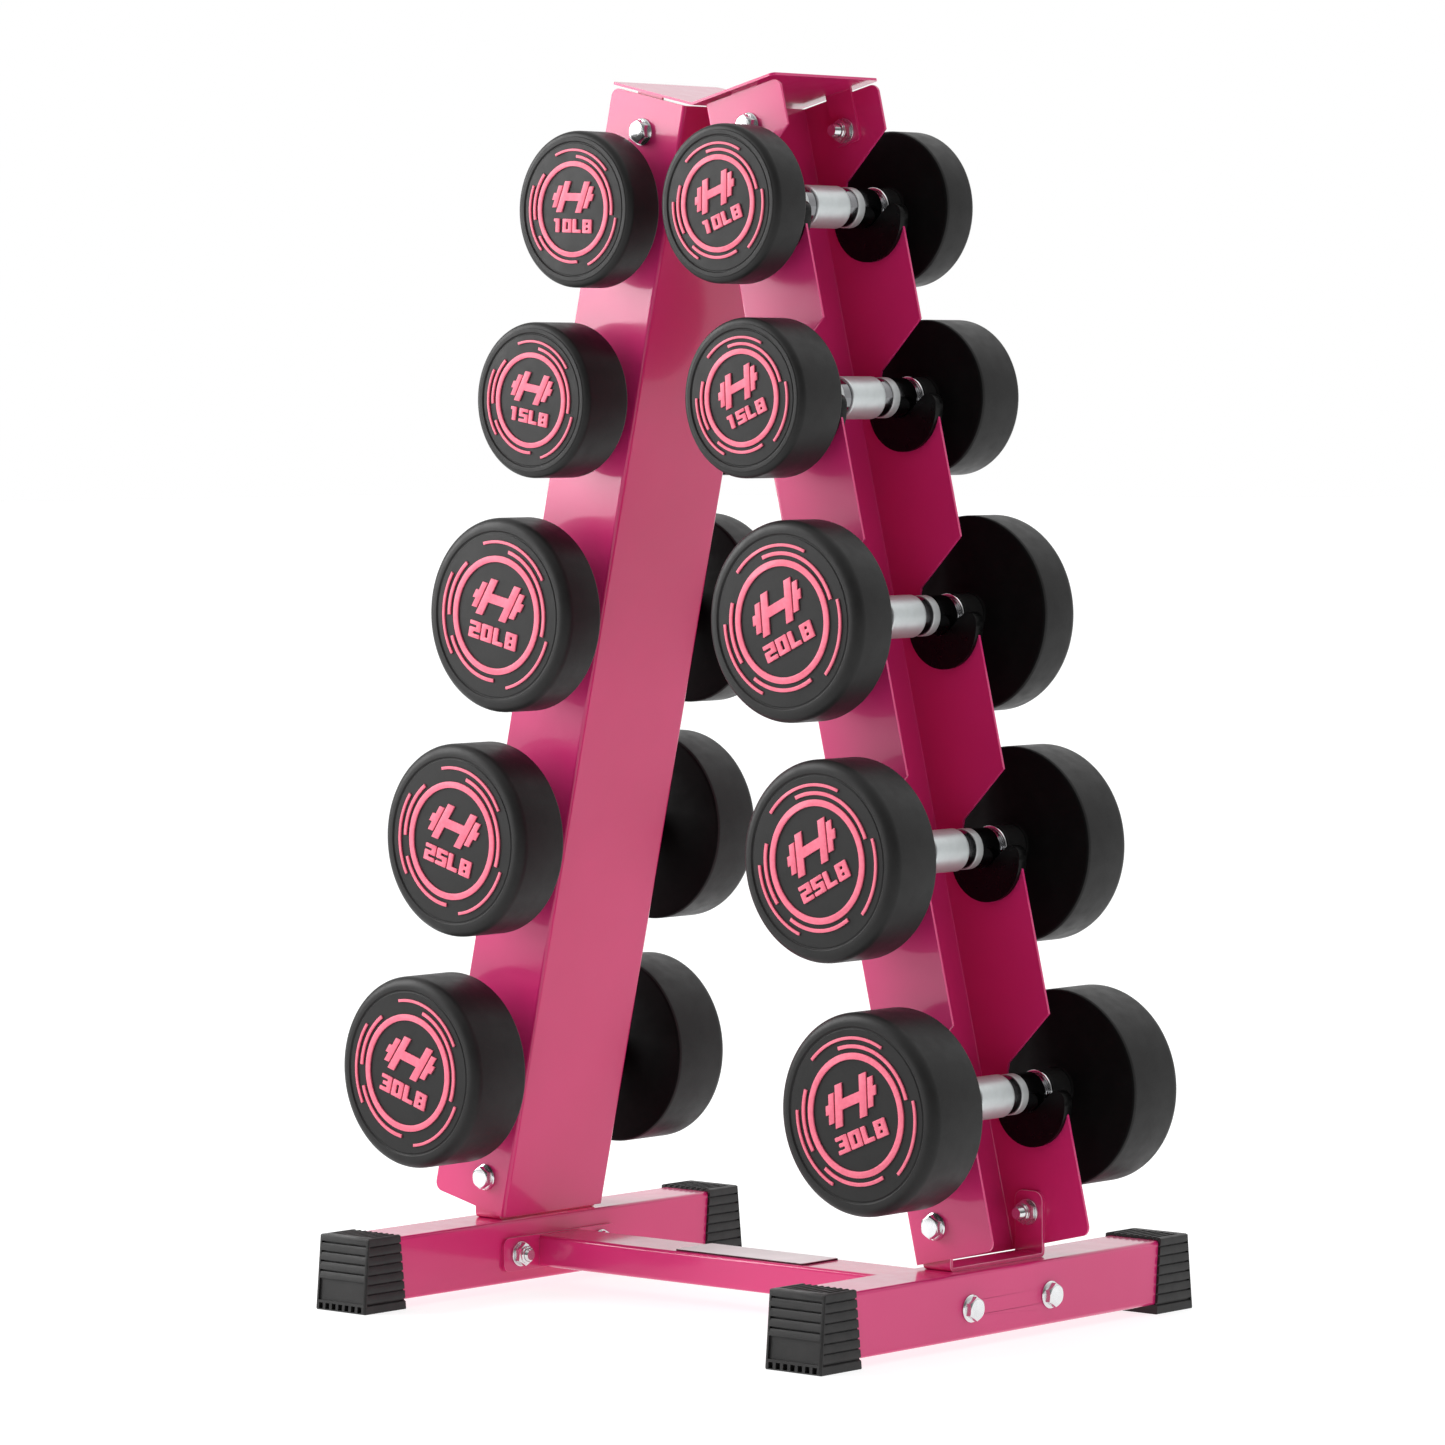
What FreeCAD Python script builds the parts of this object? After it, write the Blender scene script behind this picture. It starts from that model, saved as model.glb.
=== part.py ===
import FreeCAD, Part
import math
import os
import Sketcher
from FreeCAD import Placement, Rotation, Vector

# Two-sided dumbbell rack with its five pairs of round dumbbells.
# Frame: +X to the right, +Y to the back, +Z up, origin on the floor at the middle of the footprint.

DIMENSIONS = {
    # base tubes and their end caps
    "tube_side": 50,
    "tube_wall": 2,
    "tube_rounding": 3,
    "tube_length": 426,
    "tube_offset": 236.5,
    "tube_lift": 7,
    "cap_length": 46,
    "cap_end_wall": 8.5,
    "cap_top_wall": 2.3,
    "cap_foot_wall": 2.5,
    "cap_end_taper": 5.5,
    "cap_rounding": 1.5,
    # crossbar between the base tubes
    "bar_width": 50,
    "bar_height": 25,
    "bar_middle": 30,
    "end_plate_width": 130,
    "end_plate_height": 27,
    "end_plate_gauge": 3,
    "end_plate_rounding": 6,
    "bar_bolt_offset": 47,
    "name_plate_length": 134,
    "name_plate_width": 42,
    "name_plate_gauge": 1.5,
    "name_plate_shift": 4,
    # leaning uprights, folded from sheet; along is measured up the lean from the foot
    "lean": 13.2,
    "foot_offset": 216.3,
    "foot_lift": 59.4,
    "upright_length": 903,
    "web_width": 116,
    "flange_depth": 78.5,
    "sheet_gauge": 2,
    "bend_radius": 3,
    "flange_rounding": 7,
    "lower_bolt_depth": 26,
    "lower_bolt_along": 26,
    "upper_bolt_depth": 40,
    "upper_bolt_along": 875,
    # hook notches, given from the axis of the handle that rests in them
    "handle_depth": 45.6,
    "row_one_along": 811.5,
    "row_two_along": 660.5,
    "row_three_along": 488.5,
    "row_four_along": 306,
    "row_five_along": 115.5,
    "notch_radius": 24,
    "notch_drop": 1,
    "notch_back_out": 20.3,
    "notch_back_up": 20.7,
    "notch_mouth_out": 19.5,
    "notch_mouth_up": 60.8,
    "notch_lip_out": 37,
    "notch_lip_down": 13.3,
    "notch_run_out": 60,
    # plastic saddle liners in the notches
    "saddle_radius": 15.8,
    "saddle_outer_radius": 34,
    "saddle_inner_face": 52,
    "saddle_outer_face": 61,
    "saddle_arm_out": 30,
    "saddle_arm_down": 5,
    "saddle_arm_radius": 8,
    "saddle_back_up": 3,
    "saddle_belly_down": 8,
    # top and foot brackets
    "top_gap": 2.5,
    "top_half_span": 84,
    "top_width": 124,
    "tab_width": 26,
    "tab_length": 41,
    "top_rounding": 4,
    "bracket_gauge": 3,
    "bracket_width": 27,
    "bracket_height": 50,
    "bracket_rounding": 8,
    "bracket_bend_radius": 1,
    # fasteners, size M10
    "bolt_radius": 5,
    "bolt_hole_radius": 5.5,
    "thread_gap": 0.1,
    "hex_corner_radius": 9.24,
    "hex_flat_radius": 8,
    "head_height": 7,
    "flange_radius": 10.5,
    "flange_height": 2,
    "nut_height": 8,
    "washer_radius": 10,
    "washer_height": 2,
    "short_shank": 20,
    "long_shank": 65.5,
    # dumbbell bar, the same for every weight except for its length
    "grip_radius": 16.5,
    "grip_half_length": 19.5,
    "groove_radius": 15,
    "groove_end": 28.7,
    "seat_radius": 15.5,
    "collar_start": 62.5,
    "collar_end": 66.5,
    "hub_radius": 15.8,
    "bar_depth_in_head": 16,
    "head_shell": 6,
    "head_rim_radius": 8,
    "head_inner_rim_radius": 3,
    "badge_height": 1,
    "badge_outer_share": 0.612,
    "badge_inner_share": 0.547,
    # how far a cut that goes right through runs past the part
    "cut_margin": 2,
}

# weight in pounds: head radius, head thickness, half of the gap between the heads, row it rests in
DUMBBELLS = {
    10: (60.5, 34, 82, "row_one_along"),
    15: (60.5, 47, 82, "row_two_along"),
    20: (76.2, 39.5, 89.5, "row_three_along"),
    25: (76.2, 49, 89.5, "row_four_along"),
    30: (76.2, 57, 89.5, "row_five_along"),
}

# each side's sign along X, and the turn about Z that carries a part of the right side over to it
SIDES = {"left": (-1, 180), "right": (1, 0)}

NEAR = 0.1
PARALLEL = 0.999

doc = FreeCAD.newDocument("dumbbell_rack")
nodes = []


def make_sheet():
    """Writes the driving dimensions to a sheet, one named cell per row."""
    sheet = doc.addObject("Spreadsheet::Sheet", "sizes")
    rows = dict(DIMENSIONS)
    for pounds, (radius, thickness, gap, _) in DUMBBELLS.items():
        rows["head_radius_%dlb" % pounds] = radius
        rows["head_thickness_%dlb" % pounds] = thickness
        rows["head_gap_%dlb" % pounds] = gap
    for line, (alias, value) in enumerate(rows.items(), start=1):
        sheet.set("A%d" % line, alias)
        sheet.set("B%d" % line, str(value))
        sheet.setAlias("B%d" % line, alias)
    doc.recompute()
    return sheet


sizes = make_sheet()


def size(alias):
    return float(getattr(sizes, alias))


def bind(feature, **formulas):
    """Binds properties to formulas; a double underscore stands for a dot in a property's path."""
    for name, formula in formulas.items():
        feature.setExpression(name.replace("__", "."), formula)


def as_node(feature, label, placement=None):
    """Makes a feature a sub-part of its own, which is exported under its label."""
    feature.Label = label
    if placement is not None:
        feature.Placement = placement
    nodes.append(feature)
    return feature


def group(name, links, placement=None):
    """Holds one or more shapes as one object with a placement."""
    compound = doc.addObject("Part::Compound", name)
    compound.Links = links
    if placement is not None:
        compound.Placement = placement
    return compound


def origin_item(body, role):
    return next(item for item in body.Origin.OriginFeatures if item.Role == role)


def new_sketch(body, plane, name):
    sketch = body.newObject("Sketcher::SketchObject", name)
    sketch.AttachmentSupport = [(origin_item(body, plane), "")]
    sketch.MapMode = "FlatFace"
    return sketch


def fix_point(sketch, curve, end, across, up):
    """Holds one end of a curve at two formulas, both measured from the sketch's origin."""
    for kind, axis, formula in (("DistanceX", -2, across), ("DistanceY", -1, up)):
        if formula == "0":
            sketch.addConstraint(Sketcher.Constraint("PointOnObject", curve, end, axis))
            continue
        value = sketch.evalExpression(formula)
        number = sketch.addConstraint(Sketcher.Constraint(kind, curve, end, float(value)))
        sketch.setExpression("Constraints[%d]" % number, formula)


def draw_outline(sketch, corners):
    """Draws a closed outline of straight lines through corners given as pairs of formulas."""
    points = [Vector(*(float(sketch.evalExpression(part)) for part in corner), 0) for corner in corners]
    first = sketch.GeometryCount
    count = len(points)
    for index, point in enumerate(points):
        sketch.addGeometry(Part.LineSegment(point, points[(index + 1) % count]), False)
    for index in range(count):
        after = first + (index + 1) % count
        sketch.addConstraint(Sketcher.Constraint("Coincident", first + index, 2, after, 1))
    for index, (across, up) in enumerate(corners):
        fix_point(sketch, first + index, 1, across, up)


def draw_circle(sketch, across, up, radius):
    centre = Vector(float(sketch.evalExpression(across)), float(sketch.evalExpression(up)), 0)
    sized = float(sketch.evalExpression(radius))
    curve = sketch.addGeometry(Part.Circle(centre, Vector(0, 0, 1), sized), False)
    number = sketch.addConstraint(Sketcher.Constraint("Radius", curve, sized))
    sketch.setExpression("Constraints[%d]" % number, radius)
    fix_point(sketch, curve, 3, across, up)


def rectangle(half_across, low, high):
    return [("-" + half_across, low), (half_across, low), (half_across, high), ("-" + half_across, high)]


def pad(body, sketch, length):
    feature = body.newObject("PartDesign::Pad", "pad")
    feature.Profile = sketch
    feature.SideType = "Symmetric"
    bind(feature, Length=length)
    doc.recompute()
    return feature


def pocket(body, sketch, length):
    """Cuts a sketch's outline out of the body, half the length to each side of its plane."""
    before = body.Shape.Volume
    feature = body.newObject("PartDesign::Pocket", "pocket")
    feature.Profile = sketch
    feature.SideType = "Symmetric"
    bind(feature, Length=length)
    doc.recompute()
    if not body.Shape.Volume < before:
        raise RuntimeError("a pocket in %s cuts nothing" % body.Name)
    return feature


def long_edges(shape, direction, wanted):
    """Names the straight edges along a direction whose middle point is wanted."""
    found = []
    for number, edge in enumerate(shape.Edges, start=1):
        if not isinstance(edge.Curve, Part.Line):
            continue
        along = edge.tangentAt(edge.FirstParameter)
        if abs(along.dot(direction)) > PARALLEL and wanted(edge.CenterOfMass):
            found.append("Edge%d" % number)
    return found


def fillet(body, direction, wanted, radius):
    base = body.Tip
    feature = body.newObject("PartDesign::Fillet", "fillet")
    feature.Base = (base, long_edges(base.Shape, direction, wanted))
    bind(feature, Radius=radius)
    doc.recompute()
    return feature


X_WAY = Vector(1, 0, 0)
Y_WAY = Vector(0, 1, 0)
Z_WAY = Vector(0, 0, 1)


def tube(name, plane, width, height, length):
    """A rectangular steel tube with rounded corners, centred on the body's origin."""
    body = doc.addObject("PartDesign::Body", name)
    outside = new_sketch(body, plane, name + "_outside")
    draw_outline(outside, rectangle("%s/2" % width, "-%s/2" % height, "%s/2" % height))
    pad(body, outside, length)
    way = Y_WAY if plane == "XZ_Plane" else X_WAY
    fillet(body, way, lambda middle: True, "sizes.tube_rounding")
    inside = new_sketch(body, plane, name + "_inside")
    half_high = "(%s/2-sizes.tube_wall)" % height
    draw_outline(inside, rectangle("(%s/2-sizes.tube_wall)" % width, "-" + half_high, half_high))
    pocket(body, inside, length + "+sizes.cut_margin")
    return body


def bar_bolt_holes(body, depth):
    """Holes for the two bolts at each end of the crossbar, through a part in the YZ plane."""
    holes = new_sketch(body, "YZ_Plane", body.Name + "_holes")
    for sign in ("-", ""):
        draw_circle(holes, sign + "sizes.bar_bolt_offset", body_bolt_height(body), "sizes.bolt_hole_radius")
    pocket(body, holes, depth)


def body_bolt_height(body):
    """Height of the crossbar bolts above the origin of the body that they pass through."""
    if body.Name == "base_tube":
        return "sizes.bar_middle-sizes.tube_lift-sizes.tube_side/2"
    return "0"


def make_base_tubes():
    body = tube("base_tube", "XZ_Plane", "sizes.tube_side", "sizes.tube_side", "sizes.tube_length")
    bar_bolt_holes(body, "sizes.tube_side+sizes.cut_margin")
    height = size("tube_lift") + size("tube_side") / 2
    for side, (sign, turn) in SIDES.items():
        place = Placement(Vector(sign * size("tube_offset"), 0, height), Rotation(Z_WAY, turn))
        as_node(group(side + "_tube", [body]), side + "_base_tube", place)


def make_foot_cap():
    """A moulded sleeve over a tube's end, longer at the floor than at the top."""
    block = doc.addObject("Part::Wedge", "cap_block")
    wide = "(sizes.tube_side/2+sizes.cap_foot_wall)"
    narrow = "(sizes.tube_side/2+sizes.cap_top_wall)"
    bind(block, Xmin="-" + wide, Xmax=wide, X2min="-" + narrow, X2max=narrow)
    bind(block, Ymin="0", Ymax="sizes.tube_lift+sizes.tube_side+sizes.cap_top_wall")
    bind(block, Zmin="0", Zmax="sizes.cap_length", Z2min="sizes.cap_end_taper")
    bind(block, Z2max="sizes.cap_length-sizes.cap_end_taper")
    block.Placement = Placement(Vector(), Rotation(X_WAY, 90))
    doc.recompute()
    rounded = doc.addObject("Part::Fillet", "cap_rounded")
    rounded.Base = block
    radius = size("cap_rounding")
    edges = enumerate(block.Shape.Edges, start=1)
    rounded.Edges = [(number, radius, radius) for number, edge in edges if is_cap_edge(edge)]
    socket = doc.addObject("Part::Box", "cap_socket")
    bind(socket, Length="sizes.tube_side", Width="sizes.cap_length", Height="sizes.tube_side")
    bind(socket, Placement__Base__x="-sizes.tube_side/2", Placement__Base__z="sizes.tube_lift")
    bind(socket, Placement__Base__y="sizes.cap_end_wall-sizes.cap_length")
    cap = doc.addObject("Part::Cut", "cap")
    cap.Base = rounded
    cap.Tool = socket
    doc.recompute()
    return cap


def is_cap_edge(edge):
    """The edges round the closed end, and the two long ones on top."""
    middle = edge.CenterOfMass
    closed_end = middle.y < size("cap_end_wall") - size("cap_length") and middle.z > NEAR
    top_long = middle.z > size("tube_side") and abs(middle.x) > NEAR
    return closed_end or top_long


def make_foot_caps():
    cap = make_foot_cap()
    open_end = size("tube_length") / 2 + size("cap_end_wall") - size("cap_length")
    for side, (sign, _) in SIDES.items():
        for end, way, turn in (("front", -1, 0), ("rear", 1, 180)):
            place = Placement(Vector(sign * size("tube_offset"), way * open_end, 0), Rotation(Z_WAY, turn))
            label = "%s_%s_foot_cap" % (side, end)
            as_node(group(label + "_shape", [cap]), label, place)


def make_crossbar():
    inner_face = "(sizes.tube_offset-sizes.tube_side/2)"
    length = "2*(%s-sizes.end_plate_gauge)" % inner_face
    body = tube("crossbar_tube", "YZ_Plane", "sizes.bar_width", "sizes.bar_height", length)
    place = Placement(Vector(0, 0, size("bar_middle")), Rotation())
    as_node(group("crossbar_shape", [body]), "crossbar", place)


def make_end_plates():
    body = doc.addObject("PartDesign::Body", "end_plate")
    outline = new_sketch(body, "YZ_Plane", "end_plate_outline")
    half_high = "sizes.end_plate_height/2"
    draw_outline(outline, rectangle("sizes.end_plate_width/2", "-" + half_high, half_high))
    pad(body, outline, "sizes.end_plate_gauge")
    fillet(body, X_WAY, lambda middle: True, "sizes.end_plate_rounding")
    bar_bolt_holes(body, "sizes.end_plate_gauge+sizes.cut_margin")
    x = size("tube_offset") - size("tube_side") / 2 - size("end_plate_gauge") / 2
    pair = []
    for side, (sign, _) in SIDES.items():
        pair.append(group(side + "_end_plate", [body], Placement(Vector(sign * x, 0, 0), Rotation())))
    place = Placement(Vector(0, 0, size("bar_middle")), Rotation())
    as_node(group("end_plates", pair), "crossbar_end_plates", place)


def make_name_plate():
    body = doc.addObject("PartDesign::Body", "name_plate_body")
    outline = new_sketch(body, "XY_Plane", "name_plate_outline")
    half_wide = "sizes.name_plate_width/2"
    draw_outline(outline, rectangle("sizes.name_plate_length/2", "-" + half_wide, half_wide))
    pad(body, outline, "sizes.name_plate_gauge")
    fillet(body, Z_WAY, lambda middle: True, "sizes.name_plate_gauge")
    height = size("bar_middle") + (size("bar_height") + size("name_plate_gauge")) / 2
    place = Placement(Vector(size("name_plate_shift"), 0, height), Rotation())
    as_node(group("name_plate_shape", [body]), "blank_name_plate", place)


def draw_notch(sketch):
    """A hook notch: a slanted way in from the edge, a round seat, and a lip that rises to the edge."""
    seat = Vector(0, -size("notch_drop"), 0)
    back = Vector(-size("notch_back_out"), size("notch_back_up"), 0)
    mouth = Vector(size("notch_mouth_out"), size("notch_mouth_up"), 0)
    lip = Vector(size("notch_lip_out"), -size("notch_lip_down"), 0)
    outside = mouth.x + size("notch_run_out")
    low, high = tangent_angle(seat, back, 1), tangent_angle(seat, lip, -1) + 2 * math.pi
    arc = Part.ArcOfCircle(Part.Circle(seat, Z_WAY, size("notch_radius")), low, high)
    entry, leave = arc.StartPoint, arc.EndPoint
    way_in = [Vector(outside, mouth.y, 0), mouth, back, entry]
    way_out = [leave, lip, Vector(outside, lip.y, 0), way_in[0]]
    for start, stop in zip(way_in, way_in[1:]):
        sketch.addGeometry(Part.LineSegment(start, stop), False)
    sketch.addGeometry(arc, False)
    for start, stop in zip(way_out, way_out[1:]):
        sketch.addGeometry(Part.LineSegment(start, stop), False)
    constrain_notch(sketch)


def constrain_notch(sketch):
    """Joins a notch's lines 0 to 2, arc 3 and lines 4 to 6, and binds their corners to the dimensions."""
    for first, second in ((0, 1), (1, 2), (4, 5), (5, 6), (6, 0)):
        sketch.addConstraint(Sketcher.Constraint("Coincident", first, 2, second, 1))
    for first, second in ((2, 3), (3, 4)):
        sketch.addConstraint(Sketcher.Constraint("Tangent", first, 2, second, 1))
    number = sketch.addConstraint(Sketcher.Constraint("Radius", 3, size("notch_radius")))
    sketch.setExpression("Constraints[%d]" % number, "sizes.notch_radius")
    outside = "sizes.notch_mouth_out+sizes.notch_run_out"
    fix_point(sketch, 3, 3, "0", "-sizes.notch_drop")
    fix_point(sketch, 0, 1, outside, "sizes.notch_mouth_up")
    fix_point(sketch, 1, 1, "sizes.notch_mouth_out", "sizes.notch_mouth_up")
    fix_point(sketch, 2, 1, "-sizes.notch_back_out", "sizes.notch_back_up")
    fix_point(sketch, 5, 1, "sizes.notch_lip_out", "-sizes.notch_lip_down")
    fix_point(sketch, 6, 1, outside, "-sizes.notch_lip_down")


def tangent_angle(centre, point, hand):
    """Angle on a notch's seat where the line from a point touches it."""
    toward = point - centre
    spread = math.acos(size("notch_radius") / toward.Length)
    return math.atan2(toward.y, toward.x) + hand * spread


def cut_notch(body, row):
    sketch = new_sketch(body, "XZ_Plane", "notch_" + row)
    sketch.AttachmentOffset = Placement(Vector(), Rotation(Z_WAY, -size("lean")))
    bind(sketch, AttachmentOffset__Base__x="sizes.handle_depth", AttachmentOffset__Base__y="sizes." + row)
    draw_notch(sketch)
    pocket(body, sketch, "sizes.web_width+sizes.cut_margin")


def make_upright():
    """A channel folded from sheet: the web faces the middle of the rack, the flanges face outwards."""
    body = doc.addObject("PartDesign::Body", "upright")
    channel = new_sketch(body, "XY_Plane", "channel")
    half, deep, gauge = "sizes.web_width/2", "sizes.flange_depth", "sizes.sheet_gauge"
    inner = "(%s-%s)" % (half, gauge)
    draw_outline(channel, [("0", "-" + half), (deep, "-" + half), (deep, "-" + inner), (gauge, "-" + inner),
                           (gauge, inner), (deep, inner), (deep, half), ("0", half)])
    sheet = body.newObject("PartDesign::Pad", "folded_sheet")
    sheet.Profile = channel
    bind(sheet, Length="sizes.upright_length")
    doc.recompute()
    fillet(body, Z_WAY, lambda middle: middle.x < NEAR, "sizes.bend_radius")
    inside = size("sheet_gauge") + NEAR
    fillet(body, Z_WAY, lambda middle: NEAR < middle.x < inside, "sizes.bend_radius-sizes.sheet_gauge")
    edge = size("flange_depth") - NEAR
    fillet(body, Y_WAY, lambda middle: middle.x > edge, "sizes.flange_rounding")
    for row in [row for _, _, _, row in DUMBBELLS.values()]:
        cut_notch(body, row)
    holes = new_sketch(body, "XZ_Plane", "upright_holes")
    for level in ("lower", "upper"):
        depth, along = "sizes.%s_bolt_depth" % level, "sizes.%s_bolt_along" % level
        draw_circle(holes, depth, along, "sizes.bolt_hole_radius")
    pocket(body, holes, "sizes.web_width+sizes.cut_margin")
    return body


def upright_placement(side):
    """Where an upright's own frame lies: its foot beside the tube, leaning to the middle."""
    right = Placement(Vector(size("foot_offset"), 0, size("foot_lift")), Rotation(Y_WAY, -size("lean")))
    _, turn = SIDES[side]
    return Placement(Vector(), Rotation(Z_WAY, turn)) * right


def make_uprights():
    body = make_upright()
    for side in SIDES:
        as_node(group(side + "_channel", [body]), side + "_upright", upright_placement(side))
    return body


def arc_between(centre, radius, start, stop):
    """An arc in the XZ plane, between two angles in degrees, as an edge."""
    angles = [math.radians(angle) for angle in (start, (start + stop) / 2, stop)]
    points = [centre + Vector(math.cos(angle), 0, math.sin(angle)) * radius for angle in angles]
    return Part.Arc(*points).toShape()


def saddle_outline():
    """A saddle's outline about the handle's axis: a round cradle, a back arm and a raised outer arm."""
    cradle, outer = size("saddle_radius"), size("saddle_outer_radius")
    arm_radius = size("saddle_arm_radius")
    arm = Vector(size("saddle_arm_out"), 0, -size("saddle_arm_down"))
    belly = Vector(arm.x + arm_radius - outer, 0, -size("saddle_belly_down"))
    back_radius = (outer - belly.x - cradle) / 2
    back = Vector(-cradle - back_radius, 0, size("saddle_back_up"))
    # the straight ramp touches the cradle and the arm, so both are met at the same angle
    ramp = math.degrees(math.acos((cradle + arm_radius) / arm.Length) + math.atan2(-arm.z, arm.x))
    arcs = [
        arc_between(back, back_radius, 180, 0),
        arc_between(Vector(), cradle, 180, 360 - ramp),
        arc_between(arm, arm_radius, 180 - ramp, 0),
        arc_between(belly, outer, 0, -180),
    ]
    edges = []
    for arc, following in zip(arcs, arcs[1:] + arcs[:1]):
        start, stop = arc.valueAt(arc.LastParameter), following.valueAt(following.FirstParameter)
        edges += [arc, Part.LineSegment(start, stop).toShape()]
    return Part.Wire(edges)


def make_saddles(upright):
    """Liners for every notch, grooved where they grip the sheet."""
    outline = Part.Face(saddle_outline())
    inner, outer = size("saddle_inner_face"), size("saddle_outer_face")
    blocks = []
    for row in [row for _, _, _, row in DUMBBELLS.values()]:
        for start in (inner, -outer):
            block = outline.extrude(Vector(0, outer - inner, 0))
            block.translate(Vector(0, start, 0))
            block.Placement = Placement(Vector(size("handle_depth"), 0, size(row)),
                                        Rotation(Y_WAY, size("lean"))) * block.Placement
            blocks.append(block)
    solid_saddles = doc.addObject("Part::Feature", "saddle_blocks")
    solid_saddles.Shape = Part.Compound(blocks)
    saddles = doc.addObject("Part::Cut", "saddles")
    saddles.Base = solid_saddles
    saddles.Tool = upright
    doc.recompute()
    for side in SIDES:
        label = side + "_saddle_liners"
        as_node(group(label + "_shape", [saddles]), label, upright_placement(side))


def leaning(depth, along, side=1):
    """Formulas for the X and Z of a point given by its depth from the web and its way up the upright."""
    sign = "" if side > 0 else "-"
    across = "%s(sizes.foot_offset+(%s)*cos(sizes.lean*1deg)-(%s)*sin(sizes.lean*1deg))"
    up = "sizes.foot_lift+(%s)*sin(sizes.lean*1deg)+(%s)*cos(sizes.lean*1deg)"
    return across % (sign, depth, along), up % (depth, along)


def draw_tabs(sketch, top):
    """The outlines of the left and right tabs, from their lower ends up to a level on the upright."""
    low = "sizes.upright_length+sizes.top_gap-sizes.tab_length"
    near, far = ("sizes.upper_bolt_depth%s%s" % (sign, "sizes.tab_width/2") for sign in "-+")
    for side in (1, -1):
        corners = ((near, low), (far, low), (far, top), (near, top))
        draw_outline(sketch, [leaning(depth, along, side) for depth, along in corners])


def top_plate_outline():
    """The section of the top plate: a shallow V, square to the uprights at its tips."""
    rise = "+sizes.top_half_span*tan(sizes.lean*1deg)"
    across = "sizes.sheet_gauge*sin(sizes.lean*1deg)"
    up = "+sizes.sheet_gauge*cos(sizes.lean*1deg)"
    valley = valley_height()
    return [
        ("-sizes.top_half_span", valley + rise), ("0", valley), ("sizes.top_half_span", valley + rise),
        ("sizes.top_half_span-" + across, valley + rise + up),
        ("0", valley + "+sizes.sheet_gauge/cos(sizes.lean*1deg)"),
        ("-sizes.top_half_span+" + across, valley + rise + up),
    ]


def make_top_bracket():
    """A sheet bent to a shallow V over both uprights, with four tabs bolted inside their flanges."""
    body = doc.addObject("PartDesign::Body", "top_bracket_body")
    plate = new_sketch(body, "XZ_Plane", "top_plate")
    draw_outline(plate, top_plate_outline())
    pad(body, plate, "sizes.top_width")
    slant = Rotation(Y_WAY, -size("lean"))
    tip = size("top_half_span") - size("sheet_gauge")
    fillet(body, slant.multVec(Z_WAY), lambda middle: middle.x > tip, "sizes.top_rounding")
    fillet(body, slant.inverted().multVec(Z_WAY), lambda middle: middle.x < -tip, "sizes.top_rounding")
    tabs = new_sketch(body, "XZ_Plane", "tabs")
    draw_tabs(tabs, "sizes.upright_length+sizes.top_gap+sizes.sheet_gauge/2")
    inner_width = "(sizes.web_width-2*sizes.sheet_gauge)"
    pad(body, tabs, inner_width)
    between = new_sketch(body, "XZ_Plane", "between_tabs")
    draw_tabs(between, "sizes.upright_length+sizes.top_gap")
    pocket(body, between, inner_width + "-2*sizes.sheet_gauge")
    low = size("foot_lift") + size("upper_bolt_along")
    fillet(body, Y_WAY, lambda middle: middle.z < low, "sizes.top_rounding")
    holes = new_sketch(body, "XZ_Plane", "tab_holes")
    for side in (1, -1):
        place = leaning("sizes.upper_bolt_depth", "sizes.upper_bolt_along", side)
        draw_circle(holes, *place, "sizes.bolt_hole_radius")
    pocket(body, holes, "sizes.top_width")
    as_node(group("top_bracket_shape", [body]), "top_bracket", Placement())


def valley_height():
    """Formula for the height of the top bracket's underside at the middle of the rack."""
    return "sizes.foot_lift+(sizes.upright_length+sizes.top_gap)/cos(sizes.lean*1deg)" \
           "-sizes.foot_offset*tan(sizes.lean*1deg)"


def make_foot_brackets():
    """A U of thick strip on each base tube, whose ears stand inside the upright's flanges."""
    body = doc.addObject("PartDesign::Body", "foot_bracket_body")
    strip = new_sketch(body, "YZ_Plane", "strip")
    outer = "(sizes.web_width/2-sizes.sheet_gauge)"
    inner = "(%s-sizes.bracket_gauge)" % outer
    floor, top = "sizes.bracket_gauge", "sizes.bracket_height"
    draw_outline(strip, [("-" + outer, "0"), (outer, "0"), (outer, top), (inner, top),
                         (inner, floor), ("-" + inner, floor), ("-" + inner, top), ("-" + outer, top)])
    pad(body, strip, "sizes.bracket_width")
    fillet(body, X_WAY, lambda middle: middle.z < NEAR, "sizes.bracket_gauge+sizes.bracket_bend_radius")
    floor_high = size("bracket_gauge") + NEAR
    fillet(body, X_WAY, lambda middle: NEAR < middle.z < floor_high, "sizes.bracket_bend_radius")
    ear_high = size("bracket_height") - NEAR
    fillet(body, Y_WAY, lambda middle: middle.z > ear_high, "sizes.bracket_rounding")
    holes = new_sketch(body, "XZ_Plane", "ear_holes")
    bolt = leaning("sizes.lower_bolt_depth", "sizes.lower_bolt_along")[1]
    draw_circle(holes, "0", bolt + "-sizes.tube_lift-sizes.tube_side", "sizes.bolt_hole_radius")
    pocket(body, holes, "sizes.web_width")
    x = bolt_point("lower", "right").x
    height = size("tube_lift") + size("tube_side")
    for side, (sign, turn) in SIDES.items():
        place = Placement(Vector(sign * x, 0, height), Rotation(Z_WAY, turn))
        as_node(group(side + "_foot_bracket_shape", [body]), side + "_foot_bracket", place)


def bolt_point(level, side):
    """The middle of the line through an upright's front and rear holes."""
    local = Vector(size(level + "_bolt_depth"), 0, size(level + "_bolt_along"))
    return upright_placement(side).multVec(local)


def primitive(kind, name, **formulas):
    feature = doc.addObject(kind, name)
    bind(feature, **formulas)
    return feature


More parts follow.
